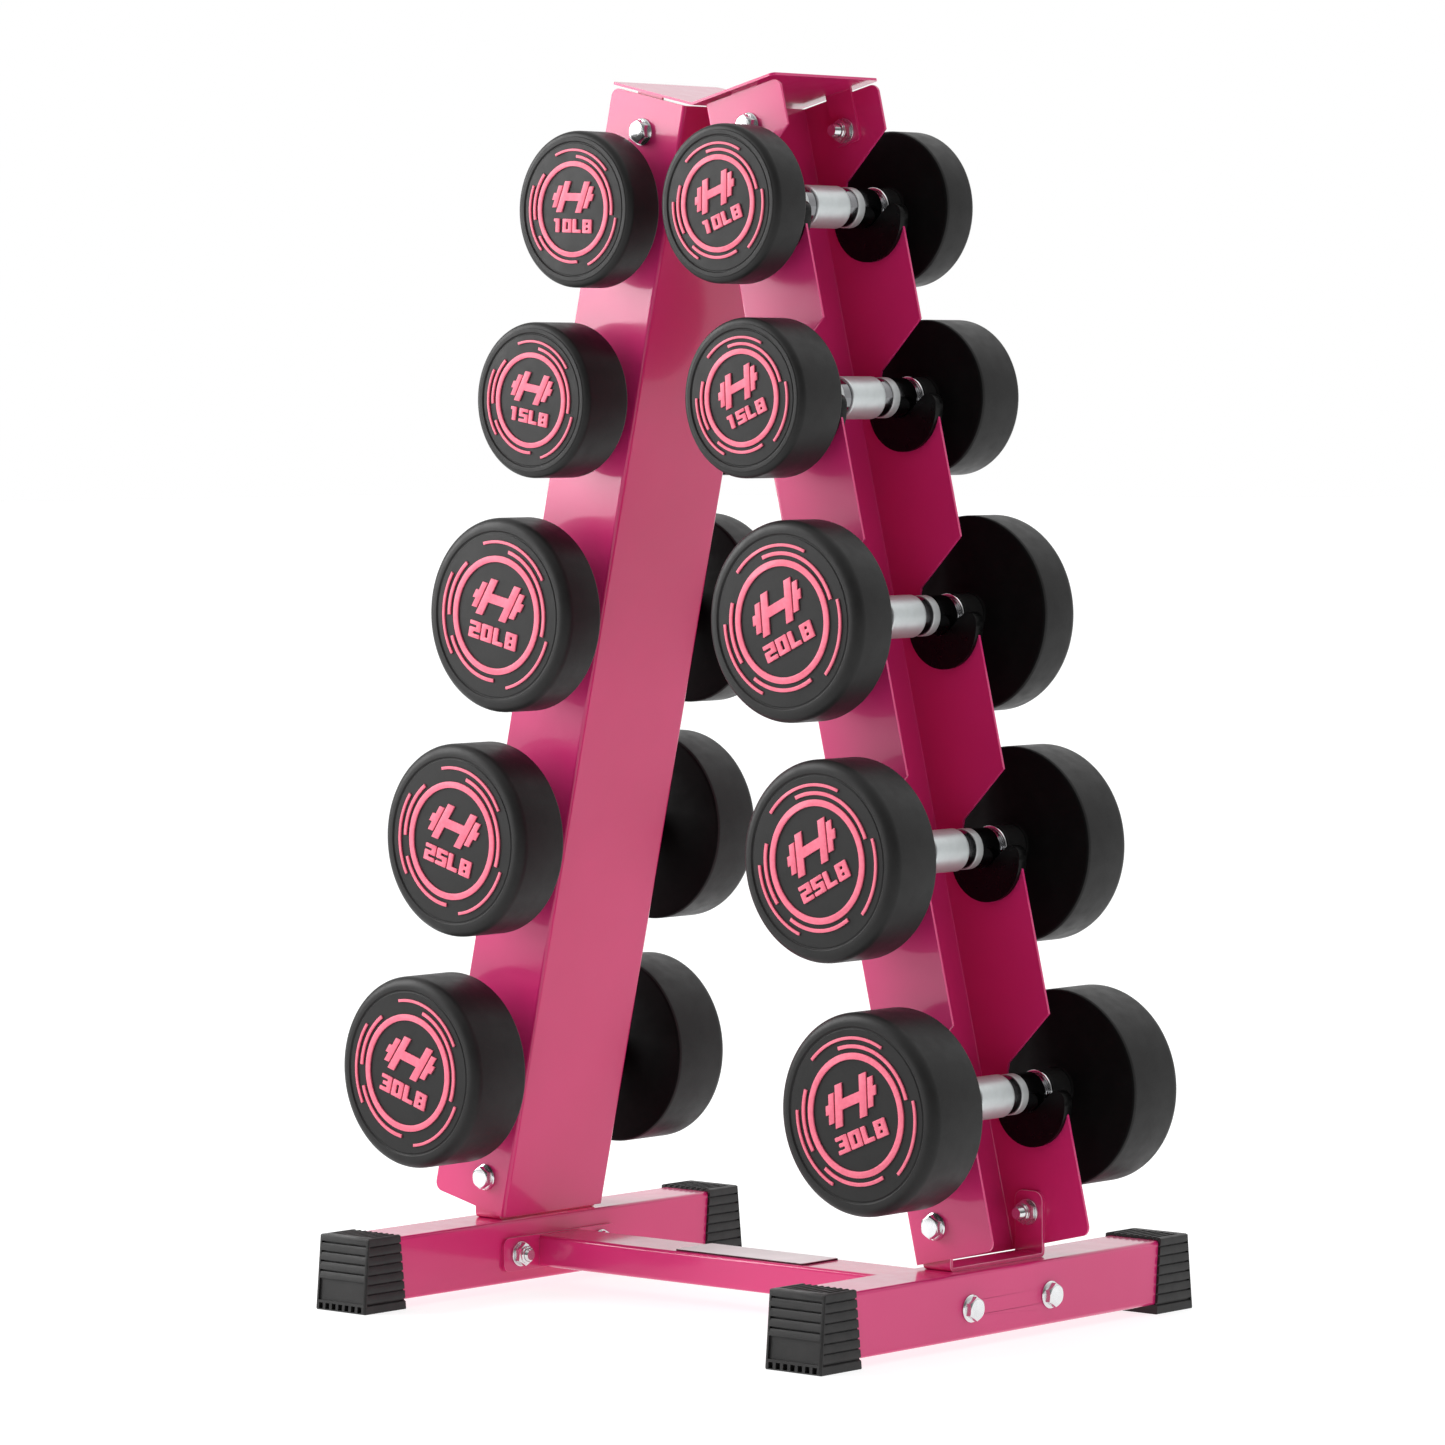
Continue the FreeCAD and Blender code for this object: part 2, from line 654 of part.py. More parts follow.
def chamfered_prism(name, height):
    """A hexagonal block whose far corners are turned off."""
    prism = primitive("Part::Prism", name + "_prism", Circumradius="sizes.hex_corner_radius", Height=height)
    prism.Polygon = 6
    turned = primitive("Part::Cone", name + "_turned", Radius1="sizes.hex_corner_radius+" + height,
                       Radius2="sizes.hex_flat_radius", Height=height)
    block = doc.addObject("Part::Common", name + "_block")
    block.Base = prism
    block.Tool = turned
    return block


def make_bolt(name, shank_length):
    """A hexagon flange bolt: its seat lies at the origin, its head above and its shank below."""
    head = chamfered_prism(name, "sizes.head_height")
    flange = primitive("Part::Cylinder", name + "_flange", Radius="sizes.flange_radius",
                       Height="sizes.flange_height")
    shank = primitive("Part::Cylinder", name + "_shank", Radius="sizes.bolt_radius",
                      Height="%s+sizes.flange_height" % shank_length)
    bind(shank, Placement__Base__z="-" + shank_length)
    bolt = doc.addObject("Part::MultiFuse", name)
    bolt.Shapes = [head, flange, shank]
    return bolt


def ring(name, outside, height):
    """Cuts a bolt's bore through a block or a disc."""
    bore = primitive("Part::Cylinder", name + "_bore", Height=height)
    bind(bore, Radius="sizes.bolt_radius+sizes.thread_gap")
    cut = doc.addObject("Part::Cut", name)
    cut.Base = outside
    cut.Tool = bore
    return cut


def make_fasteners():
    short = make_bolt("short_bolt", "sizes.short_shank")
    long = make_bolt("long_bolt", "sizes.long_shank")
    nut = ring("nut", chamfered_prism("nut", "sizes.nut_height"), "sizes.nut_height")
    disc = primitive("Part::Cylinder", "washer_disc", Radius="sizes.washer_radius")
    bind(disc, Height="sizes.washer_height")
    washer = ring("washer", disc, "sizes.washer_height")
    doc.recompute()
    upright_bolts, crossbar_bolts, nuts, washers = [], [], [], []

    def add(target, part, point, way):
        name = "%s_%d" % (part.Name, len(target) + 1)
        target.append(group(name, [part], Placement(point, Rotation(Z_WAY, way))))

    outer = size("web_width") / 2
    for side in SIDES:
        for level, gauge in (("lower", "bracket_gauge"), ("upper", "sheet_gauge")):
            point = bolt_point(level, side)
            inner = outer - size("sheet_gauge") - size(gauge)
            for way in (Y_WAY * -1, Y_WAY):
                add(upright_bolts, short, point + way * outer, way)
                add(washers, washer, point + way * inner, way * -1)
                add(nuts, nut, point + way * (inner - size("washer_height")), way * -1)
    outer = size("tube_offset") + size("tube_side") / 2
    inner = outer - size("tube_side") - size("end_plate_gauge")
    for way in (X_WAY * -1, X_WAY):
        for offset in (-size("bar_bolt_offset"), size("bar_bolt_offset")):
            point = Vector(0, offset, size("bar_middle"))
            add(crossbar_bolts, long, point + way * outer, way)
            add(washers, washer, point + way * inner, way * -1)
            add(nuts, nut, point + way * (inner - size("washer_height")), way * -1)
    for label, links in (("upright_bolts", upright_bolts), ("crossbar_bolts", crossbar_bolts),
                         ("nuts", nuts), ("washers", washers)):
        as_node(group(label + "_group", links), label, Placement())


def revolve(name, profile):
    """Turns a profile of Y and radius pairs round the Y axis."""
    body = doc.addObject("PartDesign::Body", name)
    sketch = new_sketch(body, "YZ_Plane", name + "_profile")
    draw_outline(sketch, profile)
    turned = body.newObject("PartDesign::Revolution", name + "_turned")
    turned.Profile = sketch
    turned.ReferenceAxis = (sketch, ["H_Axis"])
    turned.Angle = 360
    doc.recompute()
    return body


def make_bar(pounds):
    """The steel bar: a grip, a groove each side, seats for the saddles, collars and hubs."""
    gap = "sizes.head_gap_%dlb" % pounds
    steps = [
        ("sizes.grip_half_length", "sizes.grip_radius"),
        ("sizes.groove_end", "sizes.groove_radius"),
        ("sizes.collar_start", "sizes.seat_radius"),
        ("sizes.collar_end", "sizes.grip_radius"),
        (gap + "+sizes.bar_depth_in_head", "sizes.hub_radius"),
    ]
    half = []
    for (start, _), (end, radius) in zip([("0", "0")] + steps, steps):
        half += [(start, radius), (end, radius)]
    half = half[1:]
    left = [("-(%s)" % y, radius) for y, radius in reversed(half)]
    ends = [(half[-1][0], "0"), ("-(%s)" % half[-1][0], "0")]
    return revolve("bar_%dlb" % pounds, half + ends + left)


def paired(name, body):
    """A piece at the rear end of a dumbbell and its mirror image at the front end."""
    mirror = doc.addObject("Part::Mirroring", name + "_front")
    mirror.Source = body
    mirror.Normal = Y_WAY
    return [body, mirror]


def make_head(pounds):
    """A rubber jacket round an iron core, closed outside and open round the bar inside."""
    gap, thick = "sizes.head_gap_%dlb" % pounds, "sizes.head_thickness_%dlb" % pounds
    radius, shell = "sizes.head_radius_%dlb" % pounds, "sizes.head_shell"
    outer = "(%s+%s)" % (gap, thick)
    cavity = "(%s-%s)" % (radius, shell)
    profile = [
        (gap, "sizes.hub_radius"), (gap, radius), (outer, radius), (outer, "0"),
        ("(%s-%s)" % (outer, shell), "0"), ("(%s-%s)" % (outer, shell), cavity),
        ("(%s+%s)" % (gap, shell), cavity), ("(%s+%s)" % (gap, shell), "sizes.hub_radius"),
    ]
    name = "head_%dlb" % pounds
    body = revolve(name, profile)
    round_rim(body, pounds, "outer", "sizes.head_rim_radius")
    round_rim(body, pounds, "inner", "sizes.head_inner_rim_radius")
    return paired(name, body)


def round_rim(body, pounds, rim, rounding):
    """Rounds the outer or the inner edge of a head's largest diameter."""
    base = body.Tip
    radius = size("head_radius_%dlb" % pounds) - NEAR
    level = size("head_gap_%dlb" % pounds) + NEAR
    names = []
    for number, edge in enumerate(base.Shape.Edges, start=1):
        if not isinstance(edge.Curve, Part.Circle) or edge.Curve.Radius < radius:
            continue
        if (edge.Curve.Center.y > level) == (rim == "outer"):
            names.append("Edge%d" % number)
    feature = body.newObject("PartDesign::Fillet", rim + "_rim")
    feature.Base = (base, names)
    bind(feature, Radius=rounding)
    doc.recompute()


def make_core(pounds):
    gap, thick = "sizes.head_gap_%dlb" % pounds, "sizes.head_thickness_%dlb" % pounds
    cavity = "(sizes.head_radius_%dlb-sizes.head_shell)" % pounds
    low, high = "(%s+sizes.head_shell)" % gap, "(%s+%s-sizes.head_shell)" % (gap, thick)
    bar_end = "(%s+sizes.bar_depth_in_head)" % gap
    profile = [(low, "sizes.hub_radius"), (low, cavity), (high, cavity), (high, "0"),
               (bar_end, "0"), (bar_end, "sizes.hub_radius")]
    name = "core_%dlb" % pounds
    return paired(name, revolve(name, profile))


def make_badge(pounds):
    """A raised ring on a head's outer face."""
    face = "(sizes.head_gap_%dlb+sizes.head_thickness_%dlb)" % (pounds, pounds)
    outer = "(sizes.head_radius_%dlb*sizes.badge_outer_share)" % pounds
    inner = "(sizes.head_radius_%dlb*sizes.badge_inner_share)" % pounds
    profile = [(face, inner), (face, outer), (face + "+sizes.badge_height", outer),
               (face + "+sizes.badge_height", inner)]
    name = "badge_%dlb" % pounds
    return paired(name, revolve(name, profile))


def make_dumbbells():
    for pounds, (_, _, _, row) in DUMBBELLS.items():
        pieces = {
            "handle": [make_bar(pounds)],
            "rubber_heads": make_head(pounds),
            "iron_cores": make_core(pounds),
            "face_rings": make_badge(pounds),
        }
        for side in SIDES:
            axis = upright_placement(side).multVec(Vector(size("handle_depth"), 0, size(row)))
            for piece, links in pieces.items():
                label = "%s_%dlb_%s" % (side, pounds, piece)
                as_node(group(label + "_shape", links), label, Placement(axis, Rotation()))


def check_document():
    """Stops on a failed feature, and on a sub-part with no shape or a broken one."""
    for item in doc.Objects:
        if "Invalid" in item.State or "Error" in item.State:
            raise RuntimeError("%s failed: %s" % (item.Name, item.State))
    for node in nodes:
        if node.Shape.isNull() or not node.Shape.isValid() or not node.Shape.Solids:
            raise RuntimeError("%s has no sound shape" % node.Label)


def export():
    os.makedirs("parts", exist_ok=True)
    for node in nodes:
        node.Shape.exportStep("parts/%s.step" % node.Label)


def main():
    upright = make_uprights()
    make_saddles(upright)
    make_top_bracket()
    make_foot_brackets()
    make_base_tubes()
    make_foot_caps()
    make_crossbar()
    make_end_plates()
    make_name_plate()
    make_fasteners()
    make_dumbbells()
    doc.recompute()
    check_document()
    export()
    print(len(nodes), "nodes written")


main()
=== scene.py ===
import math

import bmesh
import bpy
from mathutils import Matrix, Quaternion, Vector


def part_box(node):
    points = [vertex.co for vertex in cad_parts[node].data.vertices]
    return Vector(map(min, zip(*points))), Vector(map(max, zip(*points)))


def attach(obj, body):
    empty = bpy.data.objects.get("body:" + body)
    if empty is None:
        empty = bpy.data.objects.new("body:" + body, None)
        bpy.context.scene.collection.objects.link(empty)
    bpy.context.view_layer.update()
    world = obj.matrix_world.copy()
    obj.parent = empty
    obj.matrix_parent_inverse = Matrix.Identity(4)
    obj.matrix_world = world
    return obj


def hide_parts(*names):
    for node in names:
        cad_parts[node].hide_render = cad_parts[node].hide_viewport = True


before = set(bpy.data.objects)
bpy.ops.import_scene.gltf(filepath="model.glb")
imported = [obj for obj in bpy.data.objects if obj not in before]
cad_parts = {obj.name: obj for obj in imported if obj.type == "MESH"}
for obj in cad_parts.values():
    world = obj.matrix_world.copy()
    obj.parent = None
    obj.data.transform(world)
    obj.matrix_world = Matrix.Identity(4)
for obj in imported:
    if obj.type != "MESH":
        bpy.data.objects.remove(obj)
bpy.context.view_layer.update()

# Looks of a two-sided dumbbell rack and its ten dumbbells, in metres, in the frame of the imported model.

MM = 0.001
ACROSS = Vector((1, 0, 0))
DEEP = Vector((0, 1, 0))


# ---------------------------------------------------------------- materials

class Finish:
    """A material with one Principled shader, and short ways to feed it from textures."""

    def __init__(self, name, sockets):
        self.material = bpy.data.materials.new(name)
        self.material.use_nodes = True
        self.tree = self.material.node_tree
        self.shader = self.tree.nodes["Principled BSDF"]
        self.place = self.tree.nodes.new("ShaderNodeTexCoord").outputs["Object"]
        for socket, value in sockets.items():
            self.shader.inputs[socket].default_value = value

    def node(self, kind, settings=None, inputs=None):
        """A new node with its settings, whose inputs are linked to sockets or set to values."""
        made = self.tree.nodes.new(kind)
        for name, value in (settings or {}).items():
            setattr(made, name, value)
        for name, value in (inputs or {}).items():
            if isinstance(value, bpy.types.NodeSocket):
                self.tree.links.new(value, made.inputs[name])
            else:
                made.inputs[name].default_value = value
        return made

    def stretched(self, scale):
        """The place on the piece, scaled by its own factor along each axis."""
        inputs = {"Vector": self.place, "Scale": scale}
        return self.node("ShaderNodeMapping", inputs=inputs).outputs["Vector"]

    def noise(self, scale, detail=3.0, vector=None):
        """A noise texture in the piece's own place, about 0.3 to 0.7."""
        inputs = {"Vector": vector or self.place, "Scale": scale, "Detail": detail}
        return self.node("ShaderNodeTexNoise", inputs=inputs).outputs["Fac"]

    def between(self, factor, low, high):
        """Turns a texture's middle range, 0.3 to 0.7, into numbers from low to high."""
        inputs = {"Value": factor, "From Min": 0.3, "From Max": 0.7, "To Min": low, "To Max": high}
        return self.node("ShaderNodeMapRange", inputs=inputs).outputs["Result"]

    def colours(self, factor, low, high):
        ramp = self.node("ShaderNodeValToRGB", inputs={"Fac": factor})
        ramp.color_ramp.elements[0].position = 0.3
        ramp.color_ramp.elements[0].color = (*low, 1)
        ramp.color_ramp.elements[1].position = 0.7
        ramp.color_ramp.elements[1].color = (*high, 1)
        return ramp.outputs["Color"]

    def add(self, first, second, share):
        """The first texture plus a share of the second."""
        inputs = {0: second, 1: share, 2: first}
        return self.node("ShaderNodeMath", {"operation": "MULTIPLY_ADD"}, inputs).outputs["Value"]

    def feed(self, socket, value):
        self.tree.links.new(value, self.shader.inputs[socket])

    def mottle(self, texture, low, high):
        """Gives the surface two close colours, shared out by a texture."""
        self.feed("Base Color", self.colours(texture, low, high))

    def bump(self, height, depth, strength=1.0):
        """Raises the surface by a texture times a depth in metres."""
        inputs = {"Height": height, "Distance": depth, "Strength": strength}
        self.feed("Normal", self.node("ShaderNodeBump", inputs=inputs).outputs["Normal"])


def powder_coat():
    """Gloss pink powder coat: an even colour, a faint orange peel and a clear skin."""
    finish = Finish("pink_powder_coat", {
        "Specular IOR Level": 0.3, "Coat Weight": 1.0, "Coat IOR": 1.36, "Coat Roughness": 0.10})
    finish.mottle(finish.noise(7.0, 4.0), (0.670, 0.022, 0.165), (0.730, 0.028, 0.190))
    finish.feed("Roughness", finish.between(finish.noise(60.0), 0.30, 0.38))
    finish.bump(finish.add(finish.noise(420.0, 2.0), finish.noise(1600.0), 0.35), 0.00012, 0.5)
    return finish.material


def edge_highlight_coat():
    """A paler pink on the rounded edges of the steel: a painted highlight for the light the edges catch."""
    finish = Finish("painted_edge_highlight", {
        "Specular IOR Level": 0.4, "Coat Weight": 0.5, "Coat Roughness": 0.15})
    finish.mottle(finish.noise(35.0, 4.0), (0.80, 0.260, 0.420), (0.88, 0.360, 0.520))
    finish.feed("Roughness", finish.between(finish.noise(80.0), 0.28, 0.36))
    finish.bump(finish.noise(600.0, 2.0), 0.00005, 0.4)
    return finish.material


def moulded_rubber():
    """Black vulcanised rubber: dull, faintly mottled, with a fine moulded grain."""
    finish = Finish("black_rubber", {"Specular IOR Level": 0.22})
    cloud = finish.add(finish.noise(35.0, 5.0), finish.noise(420.0, 4.0), 0.4)
    finish.mottle(cloud, (0.009, 0.009, 0.009), (0.015, 0.0145, 0.0145))
    finish.feed("Roughness", finish.between(finish.noise(90.0, 5.0), 0.38, 0.50))
    finish.bump(finish.add(finish.noise(1500.0, 4.0), finish.noise(170.0), 0.5), 0.00012, 0.45)
    return finish.material


def shaded_rubber():
    """A darker, duller copy of the rubber for the side of a head that faces the grip: painted shade."""
    finish = Finish("painted_shade_rubber", {"Specular IOR Level": 0.08})
    finish.mottle(finish.noise(60.0, 4.0), (0.0025, 0.0025, 0.0025), (0.004, 0.004, 0.004))
    finish.feed("Roughness", finish.between(finish.noise(150.0, 4.0), 0.55, 0.70))
    finish.bump(finish.noise(1200.0, 3.0), 0.00010, 0.4)
    return finish.material


def mark_urethane():
    """Pink urethane of the marks that are set into the heads."""
    finish = Finish("pink_urethane", {"Specular IOR Level": 0.45})
    finish.mottle(finish.noise(260.0, 4.0), (0.80, 0.135, 0.215), (0.88, 0.170, 0.260))
    finish.feed("Roughness", finish.between(finish.noise(700.0), 0.42, 0.56))
    finish.bump(finish.noise(1800.0, 3.0), 0.00008, 0.4)
    return finish.material


def cap_plastic():
    """Dark grey polyethylene of the foot caps, with a matt moulded grain and scuffs."""
    finish = Finish("cap_plastic", {"Specular IOR Level": 0.3})
    scuffs = finish.add(finish.noise(55.0, 6.0), finish.noise(900.0, 3.0), 0.3)
    finish.mottle(scuffs, (0.011, 0.011, 0.011), (0.021, 0.020, 0.020))
    finish.feed("Roughness", finish.between(finish.noise(140.0, 4.0), 0.36, 0.50))
    finish.bump(finish.noise(1300.0, 4.0), 0.00015, 0.5)
    return finish.material


def saddle_plastic():
    """Smooth black nylon of the saddle liners."""
    finish = Finish("saddle_plastic", {"Specular IOR Level": 0.15})
    finish.mottle(finish.noise(80.0, 4.0), (0.002, 0.002, 0.002), (0.004, 0.004, 0.004))
    finish.feed("Roughness", finish.between(finish.noise(220.0, 4.0), 0.26, 0.36))
    finish.bump(finish.noise(900.0, 3.0), 0.00002, 0.2)
    return finish.material


def metal(name, colour, dull, bright, brushed, peel, share=1.0):
    """A metal: brushed is how fine its turning marks are along each axis, and peel is their depth."""
    finish = Finish(name, {"Metallic": share})
    tint = tuple(part * 0.9 for part in colour)
    finish.mottle(finish.noise(120.0, 5.0), tint, colour)
    marks = finish.noise(1.0, 3.0, finish.stretched(brushed))
    wear = finish.add(marks, finish.noise(300.0, 4.0), 0.5)
    finish.feed("Roughness", finish.between(wear, bright, dull))
    finish.bump(marks, peel, 0.4)
    return finish.material


def shaded_plate_edge():
    """The dull maroon back and edges of the plate on the crossbar: painted shade for the shadowed edge under
    the white face.
    """
    finish = Finish("painted_shade_maroon", {"Specular IOR Level": 0.2})
    finish.mottle(finish.noise(60.0, 4.0), (0.060, 0.004, 0.018), (0.085, 0.006, 0.026))
    finish.feed("Roughness", finish.between(finish.noise(200.0), 0.5, 0.6))
    finish.bump(finish.noise(800.0), 0.00006, 0.4)
    return finish.material


def white_enamel():
    """Satin white of the plate on the crossbar."""
    finish = Finish("white_enamel", {"Specular IOR Level": 0.5})
    finish.mottle(finish.noise(40.0, 4.0), (0.80, 0.79, 0.785), (0.88, 0.875, 0.87))
    finish.feed("Roughness", finish.between(finish.noise(200.0), 0.34, 0.46))
    finish.bump(finish.noise(800.0), 0.00006, 0.4)
    return finish.material


PINK = powder_coat()
# a paler pink for the steel's rounded edges: a painted highlight
EDGE_HIGHLIGHT = edge_highlight_coat()
RUBBER = moulded_rubber()
# a darker copy of the rubber for the heads' inner sides: painted shade
SHADED_RUBBER = shaded_rubber()
MARKS = mark_urethane()
CAP = cap_plastic()
SADDLE = saddle_plastic()
CHROME = metal("chrome", (0.90, 0.90, 0.91), 0.08, 0.03, (40, 900, 40), 0.00001)
KNURLED = metal("knurled_chrome", (0.68, 0.72, 0.725), 0.42, 0.32, (500, 500, 500), 0.00003, 0.7)
# a darker copy of the chrome for the bar behind the grip: a painted dark reflection
DARK_REFLECTION_STEEL = metal("painted_reflection_steel", (0.24, 0.24, 0.25), 0.12, 0.05, (200, 200, 200), 0.00001)
SATIN = metal("satin_steel", (0.60, 0.62, 0.62), 0.46, 0.34, (60, 1500, 60), 0.00004, 0.6)
ZINC = metal("bright_zinc", (0.80, 0.81, 0.82), 0.20, 0.12, (300, 300, 300), 0.00002, 0.95)
IRON = metal("cast_iron", (0.16, 0.16, 0.17), 0.70, 0.50, (200, 200, 200), 0.00020)
# a dark maroon for the plate's back and edges: painted shade
PLATE_EDGE_SHADE = shaded_plate_edge()
ENAMEL = white_enamel()


# ---------------------------------------------------------------- mesh making

def rounded(corners, closed=False, steps=5):
    """A line through corners (across, up, radius), each turned with an arc of its radius."""
    line = []
    last = len(corners) - 1
    for index, (across, up, radius) in enumerate(corners):
        here = Vector((across, up))
        if not radius or (not closed and index in (0, last)):
            line.append(here)
            continue
        before = (Vector(corners[index - 1][:2]) - here).normalized()
        after = (Vector(corners[(index + 1) % (last + 1)][:2]) - here).normalized()
        half = before.angle(after) / 2
        centre = here + (before + after).normalized() * (radius / math.sin(half))
        begin = here + before * (radius / math.tan(half)) - centre
        end = here + after * (radius / math.tan(half)) - centre
        start = math.atan2(begin.y, begin.x)
        sweep = (math.atan2(end.y, end.x) - start + math.pi) % math.tau - math.pi
        for step in range(steps + 1):
            angle = start + sweep * step / steps
            line.append(centre + Vector((math.cos(angle), math.sin(angle))) * radius)
    return line


def ringed(rows, loop=False):
    """Faces between rows of points. One point alone closes an end; loop joins the last row to the first."""
    points, faces, starts = [], [], []
    for row in rows:
        starts.append(len(points))
        points += row
    pairs = list(zip(range(len(rows)), range(1, len(rows))))
    if loop:
        pairs.append((len(rows) - 1, 0))
    for low, high in pairs:
        count = max(len(rows[low]), len(rows[high]))
        for index in range(count):
            after = (index + 1) % count
            face = []
            for row, turn in ((low, (index, after)), (high, (after, index))):
                ends = turn if len(rows[row]) > 1 else (0,)
                face += [starts[row] + end for end in ends]
            faces.append(face)
    return points, faces


def lathe(profile, segments=96, loop=False):
    """A solid of revolution about Y from a profile of (y, radius) points."""
    rows = []
    for along, radius in profile:
        if radius == 0:
            rows.append([Vector((0, along, 0))])
            continue
        turns = (math.tau * step / segments for step in range(segments))
        rows.append([Vector((radius * math.cos(turn), along, radius * math.sin(turn))) for turn in turns])
    return ringed(rows, loop)


def hexagonal(rows, segments=72, loop=False):
    """A solid about Z from rows of (height, flat radius, share of a hexagon, slope of its corners)."""
    rings = []
    for height, radius, share, slope in rows:
        if radius == 0:
            rings.append([Vector((0, 0, height))])
            continue
        ring = []
        for step in range(segments):
            turn = math.tau * step / segments
            corner = 1 / math.cos((turn + math.pi / 6) % (math.pi / 3) - math.pi / 6)
            reach = radius * (1 + share * (corner - 1))
            drop = slope * (reach - radius)
            ring.append(Vector((reach * math.cos(turn), reach * math.sin(turn), height - drop)))
        rings.append(ring)
    return ringed(rings, loop)


def both_ends(part):
    """A part and its mirror image at the other end of the dumbbell."""
    points, faces = part
    mirrored = [Vector((point.x, -point.y, point.z)) for point in points]
    return joined([part, (mirrored, [face[::-1] for face in faces])])


def joined(parts):
    """Several parts as one."""
    points, faces = [], []
    for more, shapes in parts:
        start = len(points)
        points += more
        faces += [[start + index for index in face] for face in shapes]
    return points, faces


def placed(part, matrix):
    """A part moved by a matrix."""
    return [matrix @ point for point in part[0]], part[1]


def make_mesh(name, part, material, crease=35):
    """A mesh whose faces look outwards and are smooth up to the crease angle in degrees."""
    mesh = bpy.data.meshes.new(name)
    mesh.from_pydata([tuple(point) for point in part[0]], [], part[1])
    work = bmesh.new()
    work.from_mesh(mesh)
    bmesh.ops.recalc_face_normals(work, faces=work.faces)
    work.to_mesh(mesh)
    work.free()
    mesh.materials.append(material)
    mesh.shade_smooth()
    mesh.set_sharp_from_angle(angle=math.radians(crease))
    return mesh


def add_piece(name, mesh, body, at=(0, 0, 0), replaces=()):
    """Puts a mesh in the scene as a piece that rides on a body and stands for CAD nodes."""
    piece = bpy.data.objects.new(name, mesh)
    bpy.context.scene.collection.objects.link(piece)
    piece.location = at
    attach(piece, body)
    if replaces:
        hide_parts(*replaces)
    return piece


def applied(piece):
    """The piece's mesh with its modifiers made real."""
    bpy.context.view_layer.update()
    seen = piece.evaluated_get(bpy.context.evaluated_depsgraph_get())
    return bpy.data.meshes.new_from_object(seen)


# ---------------------------------------------------------------- steel of the rack

EDGE = 0.35 * MM
SHEET_EDGE = 0.7 * MM
LINER_EDGE = 1.0 * MM
EDGE_ANGLE = math.radians(38)
SHEETS = ["left_upright", "right_upright", "top_bracket"]
WELDED = ["left_base_tube", "right_base_tube", "left_foot_bracket", "right_foot_bracket", "crossbar",
          "crossbar_end_plates"]


def soften(node, width):
    """Rounds the sharp edges of a CAD node where it shows."""
    welded = node.modifiers.new("welded", "WELD")
    welded.merge_threshold = 0.001 * MM
    bevel = node.modifiers.new("softened", "BEVEL")
    bevel.width = width
    bevel.segments = 3
    bevel.limit_method = "ANGLE"
    bevel.angle_limit = EDGE_ANGLE
    bevel.harden_normals = True


def paint(name, material, edge, edge_material=None):
    """Gives a CAD node its material and softened edges, which may have a material of their own."""
    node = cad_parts[name]
    node.data.materials.clear()
    node.data.materials.append(material)
    soften(node, edge)
    if edge_material:
        node.data.materials.append(edge_material)
        node.modifiers["softened"].material = 1


# the softened edges of the steel get the paler pink, a painted highlight along every edge
for steel in SHEETS:
    paint(steel, PINK, SHEET_EDGE, EDGE_HIGHLIGHT)
for steel in WELDED:
    paint(steel, PINK, EDGE, EDGE_HIGHLIGHT)
paint("washers", ZINC, EDGE)
for side in ("left", "right"):
    paint(side + "_saddle_liners", SADDLE, LINER_EDGE)


# ---------------------------------------------------------------- fasteners

HEAD_HEIGHT = 7 * MM
NUT_HEIGHT = 8 * MM
HEX_FLAT = 8 * MM
FLANGE = 10.5 * MM
SHANK = 5 * MM
THREAD_PITCH = 1.5 * MM
THREAD_DEPTH = 0.55 * MM
THREAD_SHARE = 0.7
LEAD_IN = 0.3 * MM


def islands(name):
    """The separate solids of a CAD node, each as its lowest and highest corner."""
    work = bmesh.new()
    work.from_mesh(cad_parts[name].data)
    bmesh.ops.remove_doubles(work, verts=work.verts, dist=0.001 * MM)
    boxes, waiting = [], set(work.verts)
    while waiting:
        found, edge = [], [waiting.pop()]
        while edge:
            vertex = edge.pop()
            found.append(vertex.co.copy())
            for link in vertex.link_edges:
                other = link.other_vert(vertex)
                if other in waiting:
                    waiting.remove(other)
                    edge.append(other)
        low = Vector(min(point[axis] for point in found) for axis in range(3))
        high = Vector(max(point[axis] for point in found) for axis in range(3))
        boxes.append((low, high))
    work.free()
    return boxes


def facing(way, at):
    """A matrix that lays a part made about Z along a way, with its origin at a point."""
    return Matrix.Translation(at) @ way.to_track_quat("Z", "Y").to_matrix().to_4x4()


def bolt(shank_length):
    """A hexagon flange bolt with its seat at the origin, its head above and its thread below."""
    root = SHANK - THREAD_DEPTH
    plain = SHANK - 0.1 * MM
    rows = [(-shank_length, 0, 0, 0), (-shank_length, root - LEAD_IN, 0, 0)]
    turns = int(shank_length * THREAD_SHARE / THREAD_PITCH)
    for turn in range(turns):
        low = -shank_length + turn * THREAD_PITCH + LEAD_IN
        rows += [(low, root, 0, 0), (low + THREAD_PITCH / 2, SHANK, 0, 0)]
    rows += [(-shank_length + turns * THREAD_PITCH + LEAD_IN, plain, 0, 0), (0, plain, 0, 0)]
    rows += [(0, FLANGE - 0.4 * MM, 0, 0), (0.4 * MM, FLANGE, 0, 0), (1.0 * MM, FLANGE, 0, 0),
             (1.7 * MM, FLANGE - 0.9 * MM, 0, 0), (2.0 * MM, HEX_FLAT, 1, 0), (6.6 * MM, HEX_FLAT, 1, 0.6),
             (6.9 * MM, HEX_FLAT - 0.4 * MM, 0, 0), (HEAD_HEIGHT, HEX_FLAT - 0.9 * MM, 0, 0),
             (HEAD_HEIGHT, 0, 0, 0)]
    return hexagonal(rows)


